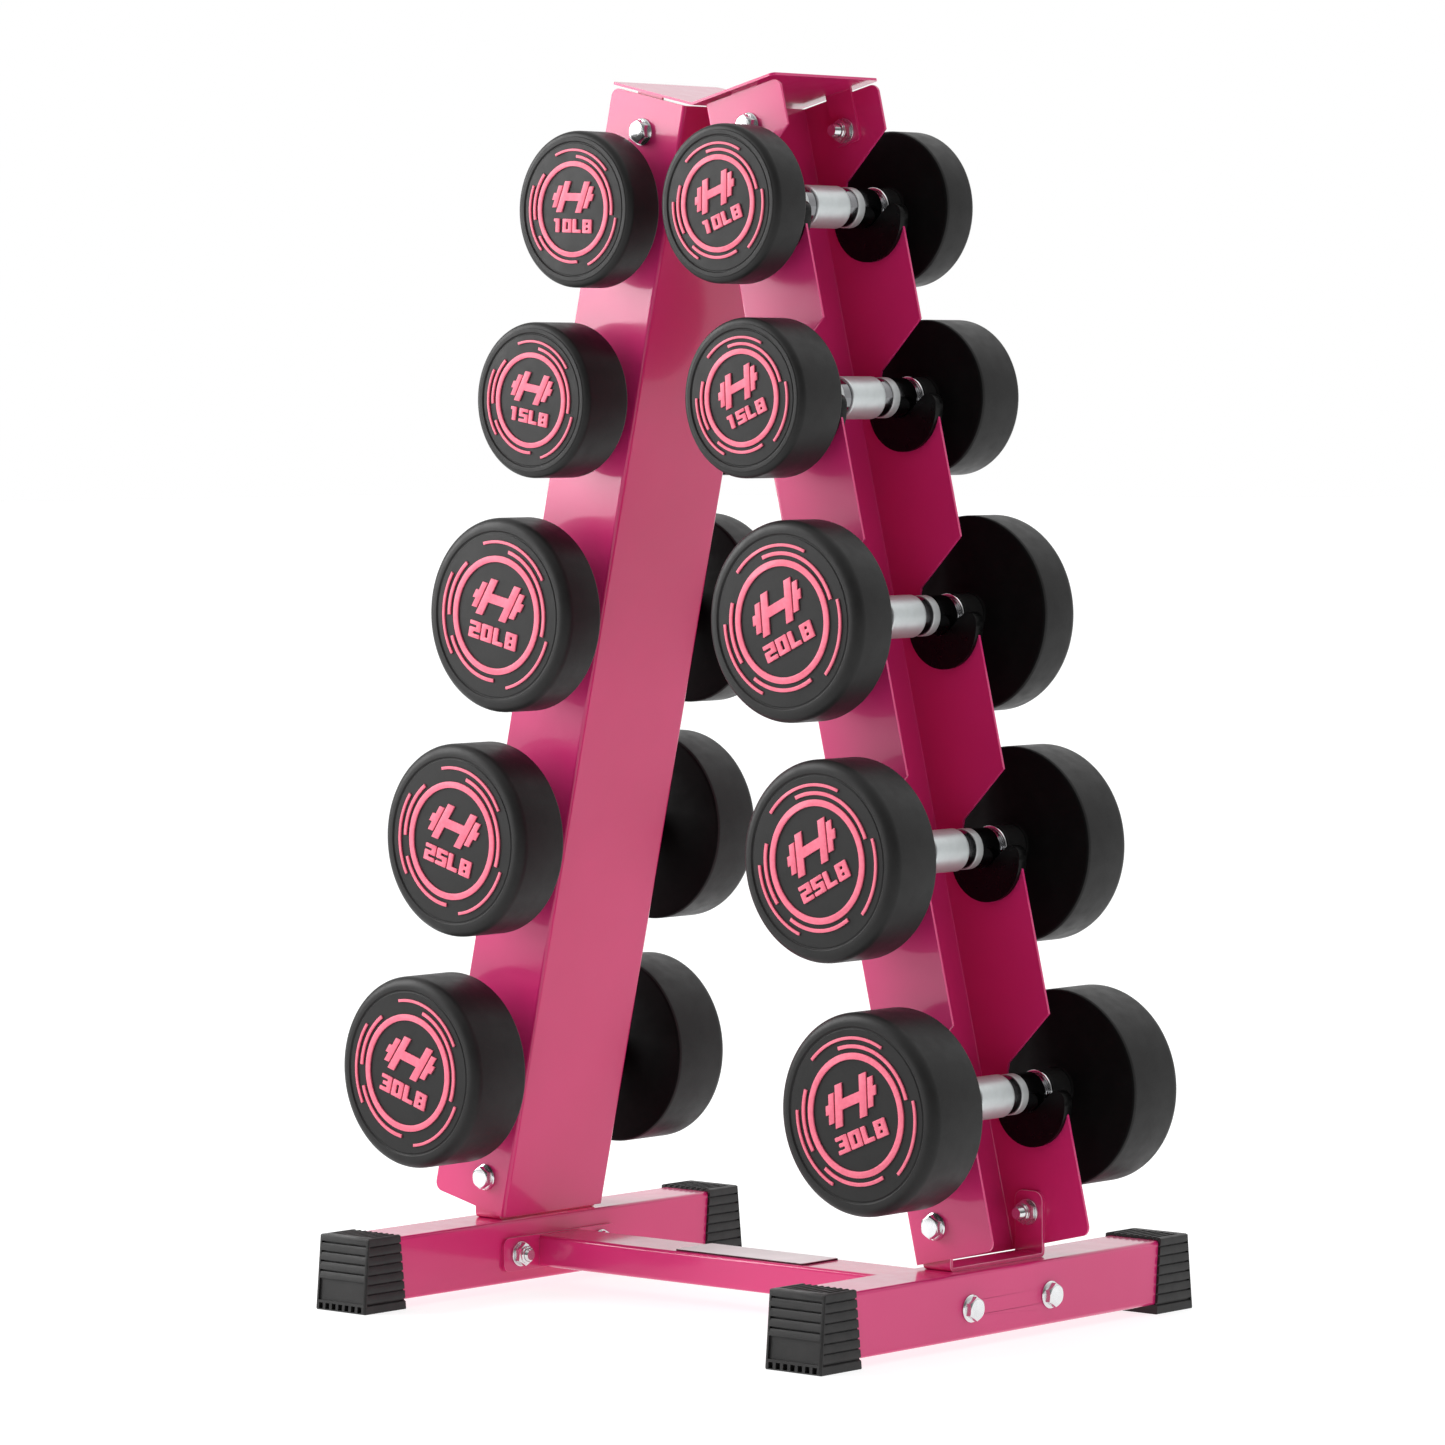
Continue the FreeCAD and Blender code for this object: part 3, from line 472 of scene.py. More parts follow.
def lock_nut():
    """A hexagon nut with a nylon ring rolled into its top, its seat at the origin."""
    bore = SHANK + 0.05 * MM
    return hexagonal([
        (0, bore + 0.5 * MM, 0, 0), (0, HEX_FLAT - 0.6 * MM, 0, 0), (0.4 * MM, HEX_FLAT, 1, -0.5),
        (5.3 * MM, HEX_FLAT, 1, 0.6), (5.5 * MM, HEX_FLAT - 0.9 * MM, 0, 0),
        (7.0 * MM, HEX_FLAT - 1.1 * MM, 0, 0), (7.8 * MM, HEX_FLAT - 1.7 * MM, 0, 0),
        (NUT_HEIGHT, HEX_FLAT - 2.3 * MM, 0, 0),
        (NUT_HEIGHT - 0.3 * MM, bore, 0, 0), (0.5 * MM, bore, 0, 0)], loop=True)


def outward_way(middle, along):
    """The direction along an axis that leads away from the middle of the rack."""
    return along * (1 if middle.dot(along) > 0 else -1)


def make_bolts():
    """Puts a turned bolt in place of each CAD bolt, with its head outwards."""
    for name, along in (("upright_bolts", DEEP), ("crossbar_bolts", ACROSS)):
        parts = []
        for low, high in islands(name):
            middle, half = (low + high) / 2, (high - low).dot(along) / 2
            way = outward_way(middle, along)
            seat = middle + way * (half - HEAD_HEIGHT)
            parts.append(placed(bolt(2 * half - HEAD_HEIGHT), facing(way, seat)))
        mesh = make_mesh(name + "_turned", joined(parts), ZINC, 28)
        add_piece(name + "_turned", mesh, "rack", replaces=[name])


def make_nuts():
    """Puts a lock nut in place of each CAD nut, with its seat towards its bolt's head."""
    parts = []
    for low, high in islands("nuts"):
        middle, extent = (low + high) / 2, high - low
        along = ACROSS if extent.x < extent.y else DEEP
        way = outward_way(middle, along) * -1
        parts.append(placed(lock_nut(), facing(way, middle - way * (NUT_HEIGHT / 2))))
    mesh = make_mesh("lock_nuts", joined(parts), ZINC, 28)
    add_piece("lock_nuts", mesh, "rack", replaces=["nuts"])


make_bolts()
make_nuts()


# ---------------------------------------------------------------- foot caps

# ribs up both sides, over a plain base
SIDE_RIBS = 7
RIB_DEPTH = 1.7 * MM
RIB_GROOVE = 1.3 * MM
RIB_SLOPE = 0.8 * MM
CAP_BASE = 7.5 * MM
CAP_POST = 2.2 * MM
CAP_LEAN = 5.5 * MM

# ridges along the top, behind a plain part
TOP_RIDGES = 8
TOP_RIDGE_DEPTH = 1.9 * MM
PLAIN_TOP = 13 * MM

# louvres, a sunk panel and slots in the closed end, from the top down
LOUVRES = 4
LOUVRE_START = 5.2 * MM
LOUVRE_HEIGHT = 5 * MM
LOUVRE_DEPTH = 2.4 * MM
LOUVRE_GAP = 1.3 * MM
FACE_MARGIN = 2.6 * MM
PANEL_DEPTH = 1.5 * MM
BOTTOM_SLOTS = 7
SLOT_LOW = 1.2 * MM
SLOT_HIGH = 5.9 * MM
SLOT_DEPTH = 4 * MM

# the socket for the tube, and how far a cut reaches past the surface
CAP_END_WALL = 8.5 * MM
SOCKET_HALF = 25.1 * MM
SOCKET_FLOOR = 7 * MM
CUT_PAST = 2 * MM


def cap_outline(half_foot, half_top, height, depth):
    """The cap from its closed end: clapboard ribs up both sides, over a plain base band."""
    pitch = (height - CAP_BASE) / SIDE_RIBS
    right = [(half_foot - 0.6 * MM, 0), (half_foot, 0.6 * MM), (half_foot, CAP_BASE - 1.2 * MM)]
    for rib in range(SIDE_RIBS):
        low = CAP_BASE + rib * pitch
        edge = half_foot + (half_top - half_foot) * low / height
        groove, high = low + RIB_GROOVE, low + pitch
        right += [(edge - depth, low), (edge - depth, groove), (edge - 0.2 * depth, groove),
                  (edge, groove + RIB_SLOPE), (edge, high - RIB_SLOPE), (edge - 0.2 * depth, high)]
    right[-1] = (half_top - 1.8 * MM, height)
    return [Vector(point) for point in right] + [Vector((-across, up)) for across, up in reversed(right)]


def prism(outline, start, stop, way="Y"):
    """A prism along Y from an outline of (x, z) points, or along X from (y, z) points."""
    rows = []
    for along in (start, stop):
        if way == "Y":
            rows.append([Vector((point[0], along, point[1])) for point in outline])
        else:
            rows.append([Vector((along, point[0], point[1])) for point in outline])
    points, faces = ringed(rows)
    count = len(outline)
    return points, faces + [list(range(count)), list(range(count, 2 * count))]


def block(low, high):
    """A box between two corners."""
    outline = [(low[0], low[2]), (high[0], low[2]), (high[0], high[2]), (low[0], high[2])]
    return prism(outline, low[1], high[1])


def cap_body(half_foot, half_top, height, length):
    """The cap before its cuts, from its closed end at Y 0. Both ends lean in towards the top."""
    plain = cap_outline(half_foot, half_top, height, 0)
    ribbed = cap_outline(half_foot, half_top, height, RIB_DEPTH)
    stations = ((plain, 0, 1.6 * MM), (plain, 0.4 * MM, 0.6 * MM), (plain, 1.3 * MM, 0), (plain, CAP_POST, 0),
                (ribbed, CAP_POST + 0.3 * MM, 0), (ribbed, length, 0))
    rows = []
    for outline, along, inset in stations:
        lean = CAP_LEAN * (1 - 2 * along / length)
        row = []
        for point in outline:
            across = point.x * (1 - inset / half_foot)
            up = point.y + inset * (1 - 2 * point.y / height)
            row.append(Vector((across, along + lean * point.y / height, up)))
        rows.append(row)
    points, faces = ringed(rows)
    count = len(plain)
    last = len(rows) - 1
    return points, faces + [list(range(count)), list(range(last * count, (last + 1) * count))]


def cap_cuts(half_foot, half_top, height, length):
    """What is cut from a cap: the tube's socket, louvres, a sunk panel, slots at the floor, top grooves."""
    past_end = length + CUT_PAST
    cuts = [block((-SOCKET_HALF, CAP_END_WALL, SOCKET_FLOOR),
                  (SOCKET_HALF, past_end, SOCKET_FLOOR + 2 * SOCKET_HALF))]
    half = half_top - FACE_MARGIN
    pitch = (height - CAP_BASE) / SIDE_RIBS

    def on_face(depth, up):
        """A point at a depth behind the leaning closed end."""
        return depth + CAP_LEAN * up / height, up

    for row in range(LOUVRES):
        top = height - LOUVRE_START - row * pitch
        lip, foot = top - LOUVRE_GAP, top - LOUVRE_HEIGHT
        corners = ((-CUT_PAST, top), (LOUVRE_DEPTH, top), (LOUVRE_DEPTH, lip), (0.5 * MM, lip - 0.3 * MM),
                   (-0.1 * MM, foot), (-CUT_PAST, foot))
        cuts.append(prism([on_face(*corner) for corner in corners], -half, half, "X"))
    panel_low = CAP_BASE + 0.5 * MM
    panel_top = height - LOUVRE_START - LOUVRES * pitch + 0.6 * MM
    panel = ((-CUT_PAST, panel_low), (PANEL_DEPTH, panel_low), (PANEL_DEPTH, panel_top),
             (-CUT_PAST, panel_top))
    cuts.append(prism([on_face(*corner) for corner in panel], -half, half, "X"))
    step = 2 * (half_foot - 2.4 * MM) / BOTTOM_SLOTS
    for slot in range(BOTTOM_SLOTS):
        middle = (slot - (BOTTOM_SLOTS - 1) / 2) * step
        left, right = middle - step * 0.3, middle + step * 0.3
        cuts.append(block((left, -CUT_PAST, SLOT_LOW), (right, SLOT_DEPTH, SLOT_HIGH)))
    step = 2 * (half_top - 3 * MM) / TOP_RIDGES
    for ridge in range(TOP_RIDGES):
        middle = (ridge - (TOP_RIDGES - 1) / 2) * step
        above, bottom = height + 0.3 * MM, height - TOP_RIDGE_DEPTH
        groove = [(middle - step * 0.40, above), (middle + step * 0.22, bottom),
                  (middle + step * 0.40, bottom), (middle + step * 0.48, above)]
        cuts.append(prism(groove, PLAIN_TOP, past_end))
    return cuts


def carve(name, body, cuts, material):
    """Cuts solids out of a body and returns what is left as a mesh."""
    base = bpy.data.objects.new(name, make_mesh(name, body, material))
    tool = bpy.data.objects.new(name + "_tool", make_mesh(name + "_tool", joined(cuts), material))
    for item in (base, tool):
        bpy.context.scene.collection.objects.link(item)
    cut = base.modifiers.new("cut", "BOOLEAN")
    cut.operation = "DIFFERENCE"
    cut.solver = "EXACT"
    cut.use_self = True
    cut.object = tool
    mesh = applied(base)
    for item in (base, tool):
        bpy.data.objects.remove(item)
    return mesh


def make_caps():
    """Makes one ribbed cap and puts it on all four tube ends."""
    low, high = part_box("right_front_foot_cap")
    centre = (low.x + high.x) / 2
    half_foot, height, length = (high.x - low.x) / 2, high.z, high.y - low.y
    half_top = half_foot - 0.2 * MM
    body = cap_body(half_foot, half_top, height, length)
    mesh = carve("foot_cap", body, cap_cuts(half_foot, half_top, height, length), CAP)
    mesh.shade_smooth()
    mesh.set_sharp_from_angle(angle=math.radians(25))
    for side, sign in (("left", -1), ("right", 1)):
        for end, turn in (("front", 0), ("rear", math.pi)):
            name = "%s_%s_foot_cap" % (side, end)
            cap = bpy.data.objects.new(name + "_ribbed", mesh)
            bpy.context.scene.collection.objects.link(cap)
            cap.location = (sign * centre, low.y if end == "front" else -low.y, 0)
            cap.rotation_euler = (0, 0, turn)
            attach(cap, "rack")
            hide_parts(name)


make_caps()


# ---------------------------------------------------------------- name plate

PLATE_FACE = 0.4 * MM
PLATE_CORNER = 1.5 * MM
PLATE_MARGIN = 0.6 * MM


def make_name_plate():
    """A steel plate with a blank white face on top; its dark maroon edges are painted shade."""
    low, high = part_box("blank_name_plate")
    middle = (low + high) / 2
    half = (high - low) / 2

    def slab(start, stop, inset):
        corners = ((-1, -1), (1, -1), (1, 1), (-1, 1))
        outline = rounded([((half.x - inset) * across, (half.y - inset) * up, PLATE_CORNER)
                           for across, up in corners], closed=True)
        points, faces = prism(outline, start, stop)
        return [Vector((point.x, point.z, point.y)) for point in points], faces

    seat = Vector((middle.x, middle.y, low.z))
    thick = high.z - low.z
    # the steel under the face is dark maroon, which is painted shade
    steel = make_mesh("name_plate_steel", slab(0, thick - PLATE_FACE, 0), PLATE_EDGE_SHADE)
    face = make_mesh("name_plate_face", slab(thick - PLATE_FACE, thick, PLATE_MARGIN), ENAMEL)
    add_piece("name_plate_steel", steel, "rack", seat, ["blank_name_plate"])
    add_piece("name_plate_face", face, "rack", seat, ["blank_name_plate"])


make_name_plate()


# ---------------------------------------------------------------- dumbbells

GRIP_RADIUS = 16.5 * MM
GRIP_HALF = 19.5 * MM
GROOVE_RADIUS = 15 * MM
RING_START = 28.7 * MM
RING_END = 36.8 * MM
RING_RADIUS = 15.8 * MM
SEAT_RADIUS = 15.4 * MM
SEAT_END = 57 * MM
NECK_RADIUS = 12.6 * MM
COLLAR_START = 62.5 * MM
COLLAR_LIP = 14.3 * MM
COLLAR_RECESS = 1.6 * MM
COLLAR_END = 66.5 * MM
HUB_RADIUS = 15.8 * MM
KNURL_PITCH = 1.25 * MM
KNURL_DEPTH = 0.14 * MM
FACE_SINK = 0.5 * MM
MARK_HEIGHT = 1.3 * MM
MARK_SINK = 0.1 * MM
SMALL_HEAD = 70 * MM

# how thick the heads of each weight in pounds are
HEAD_THICKNESS = {10: 34 * MM, 15: 47 * MM, 20: 39.5 * MM, 25: 49 * MM, 30: 57 * MM}

# how far the marks of the front heads are turned, from the top row down, in degrees
MARK_TILT = {"left": (-3, -10, -13, -16, -17), "right": (19, 22, 25, 27, 22)}


def knurled_grip():
    """The grip: crossed ridges as small pyramids, between two smooth turned ends."""
    around = 2 * round(math.pi * GRIP_RADIUS / KNURL_PITCH)
    end = [(GRIP_HALF, 0), (GRIP_HALF, GRIP_RADIUS - 1.0 * MM),
           (GRIP_HALF - 0.3 * MM, GRIP_RADIUS - 0.4 * MM), (GRIP_HALF - 1.0 * MM, GRIP_RADIUS),
           (GRIP_HALF - 2.0 * MM, GRIP_RADIUS)]
    rows = 2 * round((GRIP_HALF - 2.4 * MM) / KNURL_PITCH)
    profile = [(-along, radius, 0) for along, radius in end]
    for row in range(-rows, rows + 1):
        profile.append((row * KNURL_PITCH / 2, GRIP_RADIUS, 1 + row % 2))
    profile += [(along, radius, 0) for along, radius in reversed(end)]
    rings = []
    for along, radius, phase in profile:
        if radius == 0:
            rings.append([Vector((0, along, 0))])
            continue
        ring = []
        for step in range(around):
            low = KNURL_DEPTH if phase and (step + phase) % 2 else 0
            turn = math.tau * step / around
            ring.append(Vector(((radius - low) * math.cos(turn), along, (radius - low) * math.sin(turn))))
        rings.append(ring)
    return ringed(rings)


def sleeve():
    """The polished bar behind the grip: a shallow groove, then the seat that lies in a saddle. Its darker
    steel is a painted dark reflection of the black head beside it.
    """
    return lathe(rounded([
        (GRIP_HALF, 0, 0), (GRIP_HALF, GROOVE_RADIUS, 0), (RING_START, GROOVE_RADIUS, 0),
        (RING_START, SEAT_RADIUS, 0.2 * MM), (SEAT_END, SEAT_RADIUS, 0.5 * MM), (SEAT_END, 0, 0)]))


def bar_ring():
    """A satin band round the bar, with a bright chamfer on each side."""
    inside = SEAT_RADIUS - 0.3 * MM
    chamfer = 0.5 * MM
    return lathe(rounded([
        (RING_START, inside, 0), (RING_START, RING_RADIUS - chamfer, 0.15 * MM),
        (RING_START + chamfer, RING_RADIUS, 0.2 * MM), (RING_END - chamfer, RING_RADIUS, 0.2 * MM),
        (RING_END, RING_RADIUS - chamfer, 0.15 * MM), (RING_END, inside, 0)]), loop=True)


def neck():
    """The bright neck between a seat and its collar, which flares where they meet."""
    start = SEAT_END - 1 * MM
    root = COLLAR_START + COLLAR_RECESS + 0.5 * MM
    return lathe(rounded([
        (start, 0, 0), (start, NECK_RADIUS, 0), (root - 2.5 * MM, NECK_RADIUS, 3 * MM),
        (root, NECK_RADIUS + 0.8 * MM, 0), (root, 0, 0)]))


def collar():
    """A polished collar with a full rounded lip round a recess."""
    recess = COLLAR_START + COLLAR_RECESS
    return lathe(rounded([
        (COLLAR_END, 0, 0), (recess, 0, 0), (recess, COLLAR_LIP, 0.3 * MM),
        (COLLAR_START, COLLAR_LIP, 0.6 * MM), (COLLAR_START, GRIP_RADIUS, 1.2 * MM),
        (COLLAR_END, GRIP_RADIUS, 1.6 * MM), (COLLAR_END, 0, 0)]))


def head(radius, gap, thickness):
    """A rubber head with its hub: rounded rims, a sunk outer face and a fine groove round it."""
    outer = gap + thickness
    face = outer - FACE_SINK
    corners = [
        (COLLAR_END, 0, 0), (COLLAR_END, HUB_RADIUS, 0.8 * MM), (gap, HUB_RADIUS, 2.2 * MM),
        (gap, radius, 3 * MM), (outer, radius, 8 * MM)]
    if radius < SMALL_HEAD:
        corners = corners[:-1] + [
            (outer - 0.9 * MM, radius, 5 * MM), (outer - 0.5 * MM, 0.925 * radius, 0.3 * MM),
            (outer, 0.915 * radius, 0.5 * MM)]
    corners += [
        (outer, 0.868 * radius, 0.5 * MM), (face - 0.5 * MM, 0.856 * radius, 0.2 * MM),
        (face - 0.5 * MM, 0.846 * radius, 0.2 * MM), (face, 0.838 * radius, 0.2 * MM), (face, 0, 0)]
    return lathe(rounded(corners, steps=8), segments=144)


# Outlines of the numerals on a grid six wide and nine high, with strokes two wide: outside, then holes.
GLYPHS = {
    "0": [[(0, 0), (6, 0), (6, 9), (0, 9)], [(2.3, 2.1), (3.7, 2.1), (3.7, 6.9), (2.3, 6.9)]],
    "1": [[(2, 0), (4.5, 0), (4.5, 9), (0.8, 9), (0.8, 6.9), (2, 6.9)]],
    "2": [[(0, 0), (6, 0), (6, 2.1), (2.3, 2.1), (2.3, 3.5), (6, 3.5), (6, 9), (0, 9), (0, 6.9), (3.7, 6.9),
           (3.7, 5.5), (0, 5.5)]],
    "3": [[(0, 0), (6, 0), (6, 9), (0, 9), (0, 6.9), (3.7, 6.9), (3.7, 5.5), (1.2, 5.5), (1.2, 3.5),
           (3.7, 3.5), (3.7, 2.1), (0, 2.1)]],
    "5": [[(0, 0), (6, 0), (6, 5.5), (2.3, 5.5), (2.3, 6.9), (6, 6.9), (6, 9), (0, 9), (0, 3.5), (3.7, 3.5),
           (3.7, 2.1), (0, 2.1)]],
    "L": [[(0, 0), (5.6, 0), (5.6, 2.2), (2.4, 2.2), (2.4, 9), (0, 9)]],
    "B": [[(0, 0), (6, 0), (6, 9), (0, 9)], [(2.3, 2), (3.7, 2), (3.7, 3.6), (2.3, 3.6)],
          [(2.3, 5.4), (3.7, 5.4), (3.7, 7), (2.3, 7)]],
}
GLYPH_WIDTH = 6
GLYPH_GAP = 0.7
GLYPH_HEIGHT = 9

# the line of text and the pictogram as shares of the head's radius
TEXT_HEIGHT = 0.175
TEXT_WIDTH = 0.68
TEXT_LOW = -0.300
ICON_MIDDLE = 0.155
ICON_SLANT = math.tan(math.radians(20))
ICON_BAR = [(-0.215, -0.20), (-0.120, -0.20), (-0.120, -0.05), (0.120, -0.05), (0.120, -0.20), (0.215, -0.20),
            (0.215, 0.20), (0.120, 0.20), (0.120, 0.05), (-0.120, 0.05), (-0.120, 0.20), (-0.215, 0.20)]
ICON_END = [(0.235, -0.14), (0.305, -0.14), (0.305, -0.045), (0.345, -0.045), (0.345, 0.045), (0.305, 0.045),
            (0.305, 0.14), (0.235, 0.14)]

# the ring and arcs as shares of the head's radius, the arcs from one angle to another in degrees
RING_SHARES = (0.547, 0.612)
INNER_ARCS = ((-5, 87), (140, 193), (212, 279))
OUTER_ARCS = ((42, 116), (158, 225), (293, 353))
INNER_ARC_SHARES = (0.655, 0.692)
OUTER_ARC_SHARES = (0.740, 0.770)


def circle(radius):
    """The outline of a circle, with a point every three degrees."""
    turns = (math.radians(angle) for angle in range(0, 360, 3))
    return [(radius * math.cos(turn), radius * math.sin(turn)) for turn in turns]


def arc_band(shares, start, stop):
    """The outline of a strip bent round the face, from one angle to another in degrees."""
    steps = max(2, round((stop - start) / 3))
    turns = [math.radians(start + (stop - start) * step / steps) for step in range(steps + 1)]
    low, high = shares
    return ([(high * math.cos(turn), high * math.sin(turn)) for turn in turns]
            + [(low * math.cos(turn), low * math.sin(turn)) for turn in reversed(turns)])


def icon():
    """A slanted pictogram of a dumbbell: a bar between two plates, then a plate and a stub at each end."""
    outlines = (ICON_BAR, ICON_END, [(-across, up) for across, up in ICON_END])
    return [[(x + y * ICON_SLANT, ICON_MIDDLE + y) for x, y in outline] for outline in outlines]


def lettering(text):
    """The outlines of a line of numerals, centred under the pictogram."""
    tall = TEXT_HEIGHT / GLYPH_HEIGHT
    width = len(text) * GLYPH_WIDTH + (len(text) - 1) * GLYPH_GAP
    wide = TEXT_WIDTH / width
    outlines = []
    for place, letter in enumerate(text):
        left = place * (GLYPH_WIDTH + GLYPH_GAP) - width / 2
        for outline in GLYPHS[letter]:
            soft = rounded([(x, y, 0.4) for x, y in outline], closed=True, steps=2)
            outlines.append([((left + x) * wide, TEXT_LOW + y * tall) for x, y in soft])
    return outlines


def mark_mesh(name, radius, text):
    """All the marks of one face as raised flat shapes with softened edges, about the origin, facing Z."""
    curve = bpy.data.curves.new(name, "CURVE")
    curve.dimensions = "2D"
    curve.fill_mode = "BOTH"
    soft = 0.16 * MM
    curve.bevel_depth = soft
    curve.bevel_resolution = 1
    curve.extrude = MARK_HEIGHT / 2 - soft
    curve.offset = -soft
    outlines = [circle(share) for share in RING_SHARES] + icon() + lettering(text)
    outlines += [arc_band(INNER_ARC_SHARES, *arc) for arc in INNER_ARCS]
    outlines += [arc_band(OUTER_ARC_SHARES, *arc) for arc in OUTER_ARCS]
    for outline in outlines:
        spline = curve.splines.new("POLY")
        spline.points.add(len(outline) - 1)
        for point, (across, up) in zip(spline.points, outline):
            point.co = (across * radius, up * radius, 0, 1)
        spline.use_cyclic_u = True
    drawn = bpy.data.objects.new(name, curve)
    bpy.context.scene.collection.objects.link(drawn)
    mesh = applied(drawn)
    bpy.data.objects.remove(drawn)
    return mesh


def mark_pair(name, radius, face, tilt, text):
    """The marks of a dumbbell's front and rear faces, turned alike with the bar."""
    flat = mark_mesh(name + "_flat", radius, text)
    level = face - FACE_SINK + MARK_HEIGHT / 2 - MARK_SINK
    work = bmesh.new()
    for sign in (-1, 1):
        turned = Matrix.Rotation(-sign * math.radians(tilt), 4, "Z")
        out = Matrix(((-sign, 0, 0, 0), (0, 0, sign, sign * level), (0, 1, 0, 0), (0, 0, 0, 1)))
        copy = flat.copy()
        copy.transform(out @ turned)
        work.from_mesh(copy)
    bmesh.ops.remove_doubles(work, verts=work.verts, dist=0.01 * MM)
    bmesh.ops.recalc_face_normals(work, faces=work.faces)
    mesh = bpy.data.meshes.new(name)
    work.to_mesh(mesh)
    work.free()
    mesh.materials.clear()
    mesh.materials.append(MARKS)
    mesh.shade_smooth()
    mesh.set_sharp_from_angle(angle=math.radians(30))
    return mesh


def shade_inner_sides(mesh, gap):
    """Gives the flat sides that face the grip the darker rubber: painted shade."""
    mesh.materials.append(SHADED_RUBBER)
    for face in mesh.polygons:
        across = math.hypot(face.center.x, face.center.z)
        if abs(face.center.y) < gap + 1 * MM and across > HUB_RADIUS:
            face.material_index = 1


def make_dumbbells():
    """Makes each piece that is alike once, and puts it on every dumbbell that has it."""
    grip = make_mesh("grip", knurled_grip(), KNURLED, 60)
    # the sleeves' darker steel is a painted dark reflection of the black heads
    sleeves = make_mesh("sleeves", both_ends(sleeve()), DARK_REFLECTION_STEEL)
    necks = make_mesh("necks", both_ends(neck()), CHROME)
    rings = make_mesh("rings", both_ends(bar_ring()), SATIN)
    collars = make_mesh("collars", both_ends(collar()), CHROME)
    for row, (pounds, thickness) in enumerate(HEAD_THICKNESS.items()):
        low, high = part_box("right_%dlb_rubber_heads" % pounds)
        radius, outer = (high.x - low.x) / 2, high.y
        gap = outer - thickness
        heads = make_mesh("heads_%dlb" % pounds, both_ends(head(radius, gap, thickness)), RUBBER)
        # the sides that face the grip get the darker rubber, which is painted shade
        shade_inner_sides(heads, gap)
        for side in ("left", "right"):
            body = "%s_%dlb_dumbbell" % (side, pounds)
            prefix = "%s_%dlb_" % (side, pounds)
            axis = sum(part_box(prefix + "rubber_heads"), Vector()) / 2
            add_piece(prefix + "grip", grip, body, axis, [prefix + "handle"])
            add_piece(prefix + "sleeves", sleeves, body, axis)
            add_piece(prefix + "rings", rings, body, axis)
            add_piece(prefix + "necks", necks, body, axis)
            add_piece(prefix + "collars", collars, body, axis)
            add_piece(prefix + "heads", heads, body, axis, [prefix + "rubber_heads"])
            marks = mark_pair(prefix + "marks", radius, outer, MARK_TILT[side][row], "%dLB" % pounds)
            add_piece(prefix + "marks", marks, body, axis, [prefix + "face_rings"])
            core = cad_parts[prefix + "iron_cores"]
            core.data.materials.clear()
            core.data.materials.append(IRON)


make_dumbbells()


# ---------------------------------------------------------------- stage, light and camera

FLOOR_REACH = 40

# how the backdrop's light grows with its direction: from where to where on an axis, and from what to what
BACKDROP_RAMPS = (("Y", (-0.1, 0.8, 0.12, 0.90)), ("Z", (0.35, 1.0, 0.0, 0.9)))

LOOKED_AT = (0, 0, 0.45)
KEY_PLACE = (-2.30, -1.45, 1.6)
KEY_WIDTH = 1.9
KEY_HEIGHT = 2.2
KEY_POWER = 104
CAMERA_PLACE = (3.1298, -3.4932, 0.6928)
CAMERA_ANGLES = (42.115, 2.834, -0.386)
CAMERA_LENS = 149.79
CAMERA_SENSOR = 36


def make_floor():
    """A pale floor that glows, as a white sweep under a light tent does."""
    finish = Finish("pale_floor", {
        "Specular IOR Level": 0.25, "Emission Color": (1, 1, 1, 1), "Emission Strength": 0.81})
    finish.mottle(finish.noise(1.5, 2.0), (0.33, 0.34, 0.34), (0.35, 0.36, 0.36))
    finish.feed("Roughness", finish.between(finish.noise(20.0), 0.7, 0.8))
    corners = ((-1, -1), (1, -1), (1, 1), (-1, 1))
    mesh = bpy.data.meshes.new("floor")
    mesh.from_pydata([(x * FLOOR_REACH, y * FLOOR_REACH, 0) for x, y in corners], [], [(0, 1, 2, 3)])
    mesh.materials.append(finish.material)
    floor = bpy.data.objects.new("floor", mesh)
    bpy.context.scene.collection.objects.link(floor)


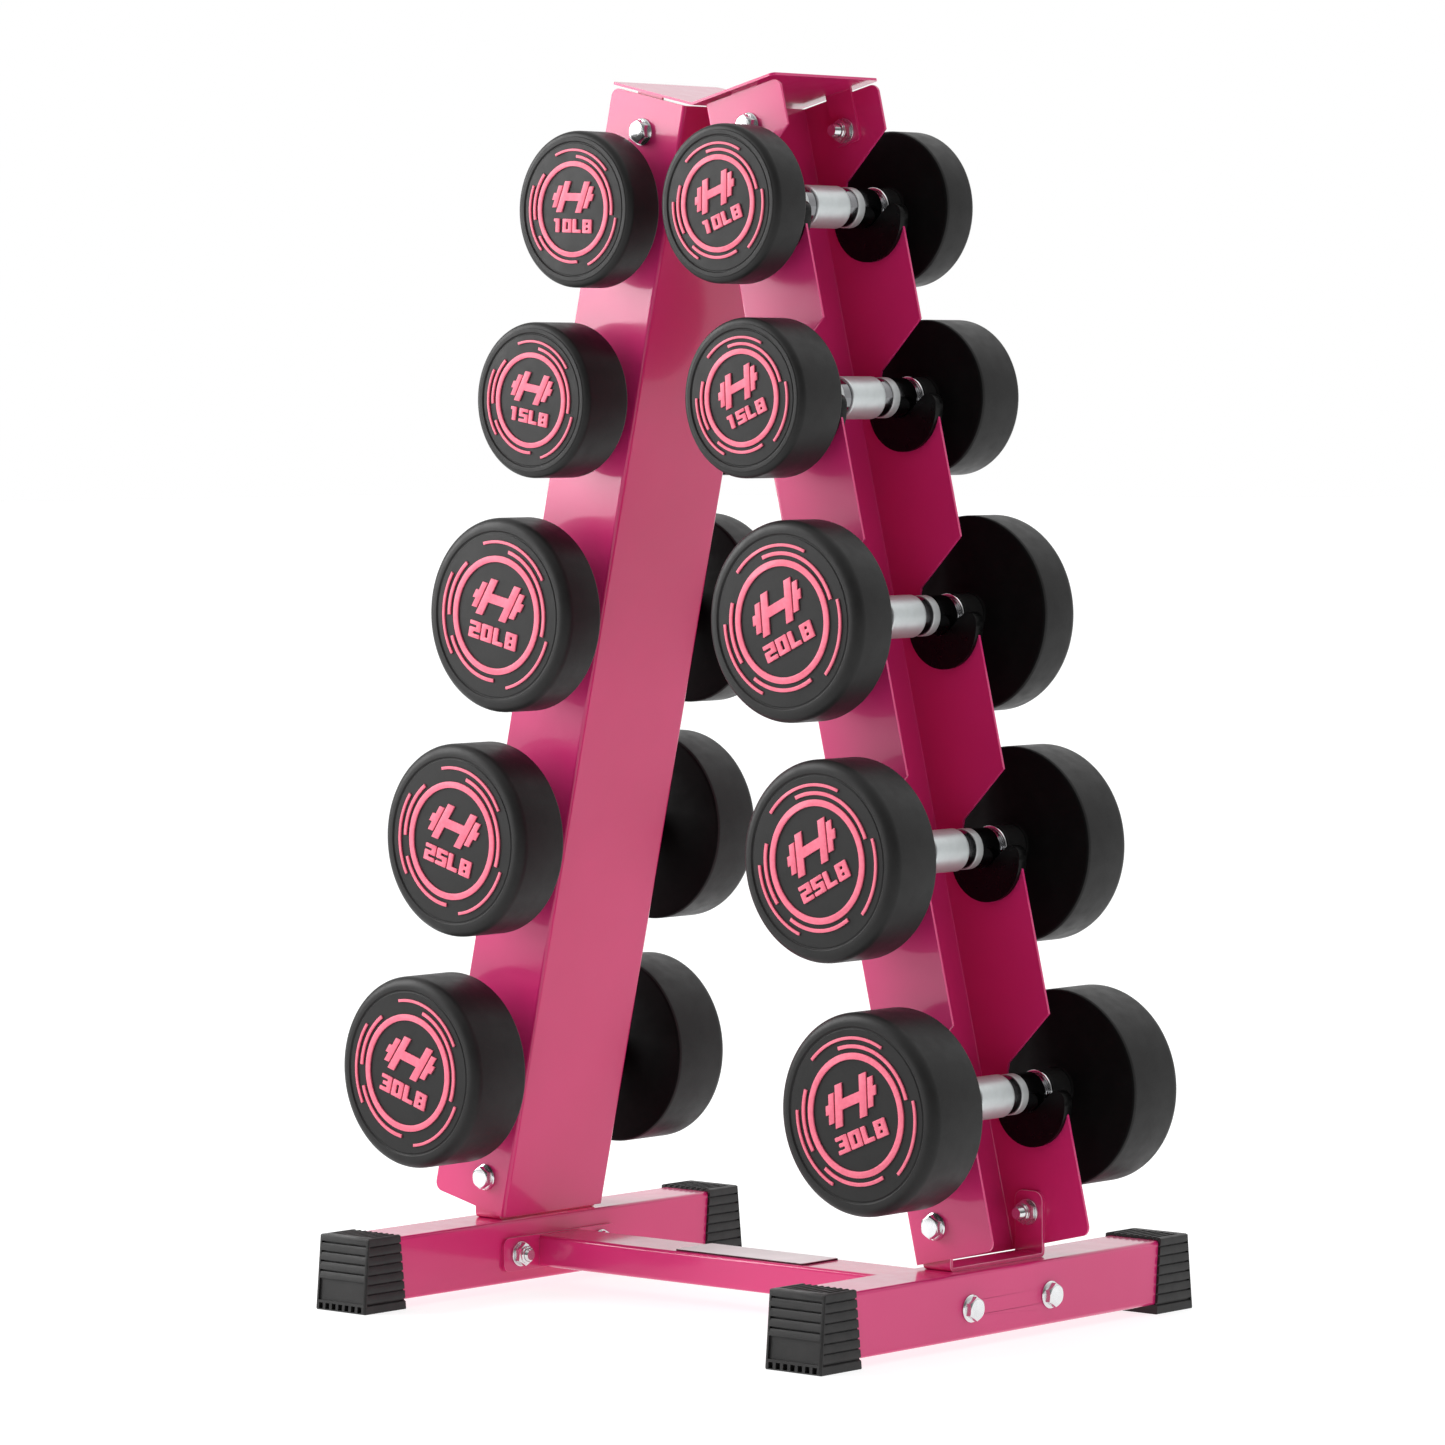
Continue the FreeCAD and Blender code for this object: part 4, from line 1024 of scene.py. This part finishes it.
def make_world():
    """A white backdrop to look at, which lights the rack from above and behind and leaves the front dim."""
    world = bpy.data.worlds.new("studio")
    bpy.context.scene.world = world
    world.use_nodes = True
    tree = world.node_tree
    shade = tree.nodes["Background"]
    way = tree.nodes.new("ShaderNodeTexCoord")
    split = tree.nodes.new("ShaderNodeSeparateXYZ")
    tree.links.new(way.outputs["Generated"], split.inputs["Vector"])
    parts = []
    for axis, edges in BACKDROP_RAMPS:
        spread = tree.nodes.new("ShaderNodeMapRange")
        spread.interpolation_type = "SMOOTHSTEP"
        tree.links.new(split.outputs[axis], spread.inputs["Value"])
        for socket, value in zip(("From Min", "From Max", "To Min", "To Max"), edges):
            spread.inputs[socket].default_value = value
        parts.append(spread.outputs["Result"])
    both = tree.nodes.new("ShaderNodeMath")
    tree.links.new(parts[0], both.inputs[0])
    tree.links.new(parts[1], both.inputs[1])
    seen = tree.nodes.new("ShaderNodeLightPath")
    brightest = tree.nodes.new("ShaderNodeMath")
    brightest.operation = "MAXIMUM"
    tree.links.new(seen.outputs["Is Camera Ray"], brightest.inputs[0])
    tree.links.new(both.outputs["Value"], brightest.inputs[1])
    tree.links.new(brightest.outputs["Value"], shade.inputs["Strength"])
    shade.inputs["Color"].default_value = (1, 1, 1, 1)


def make_key():
    """A large softbox to the rack's front left, which isn't seen itself."""
    light = bpy.data.lights.new("key", "AREA")
    light.shape = "RECTANGLE"
    light.size = KEY_WIDTH
    light.size_y = KEY_HEIGHT
    light.energy = KEY_POWER
    lamp = bpy.data.objects.new("key", light)
    bpy.context.scene.collection.objects.link(lamp)
    lamp.location = KEY_PLACE
    lamp.rotation_mode = "QUATERNION"
    lamp.rotation_quaternion = (Vector(LOOKED_AT) - Vector(KEY_PLACE)).to_track_quat("-Z", "Y")
    lamp.visible_camera = False


def make_camera():
    """The photograph's camera: a long lens, a little above the middle of the rack, to its front right."""
    azimuth, elevation, roll = (math.radians(angle) for angle in CAMERA_ANGLES)
    back = Vector((math.sin(azimuth) * math.cos(elevation), -math.cos(azimuth) * math.cos(elevation),
                   math.sin(elevation)))
    data = bpy.data.cameras.new("camera")
    data.sensor_width = CAMERA_SENSOR
    data.lens = CAMERA_LENS
    camera = bpy.data.objects.new("camera", data)
    bpy.context.scene.collection.objects.link(camera)
    camera.location = CAMERA_PLACE
    camera.rotation_mode = "QUATERNION"
    camera.rotation_quaternion = (-back).to_track_quat("-Z", "Y") @ Quaternion((0, 0, 1), roll)
    bpy.context.scene.camera = camera


make_floor()
make_world()
make_key()
make_camera()
bpy.context.scene.view_settings.view_transform = "Standard"
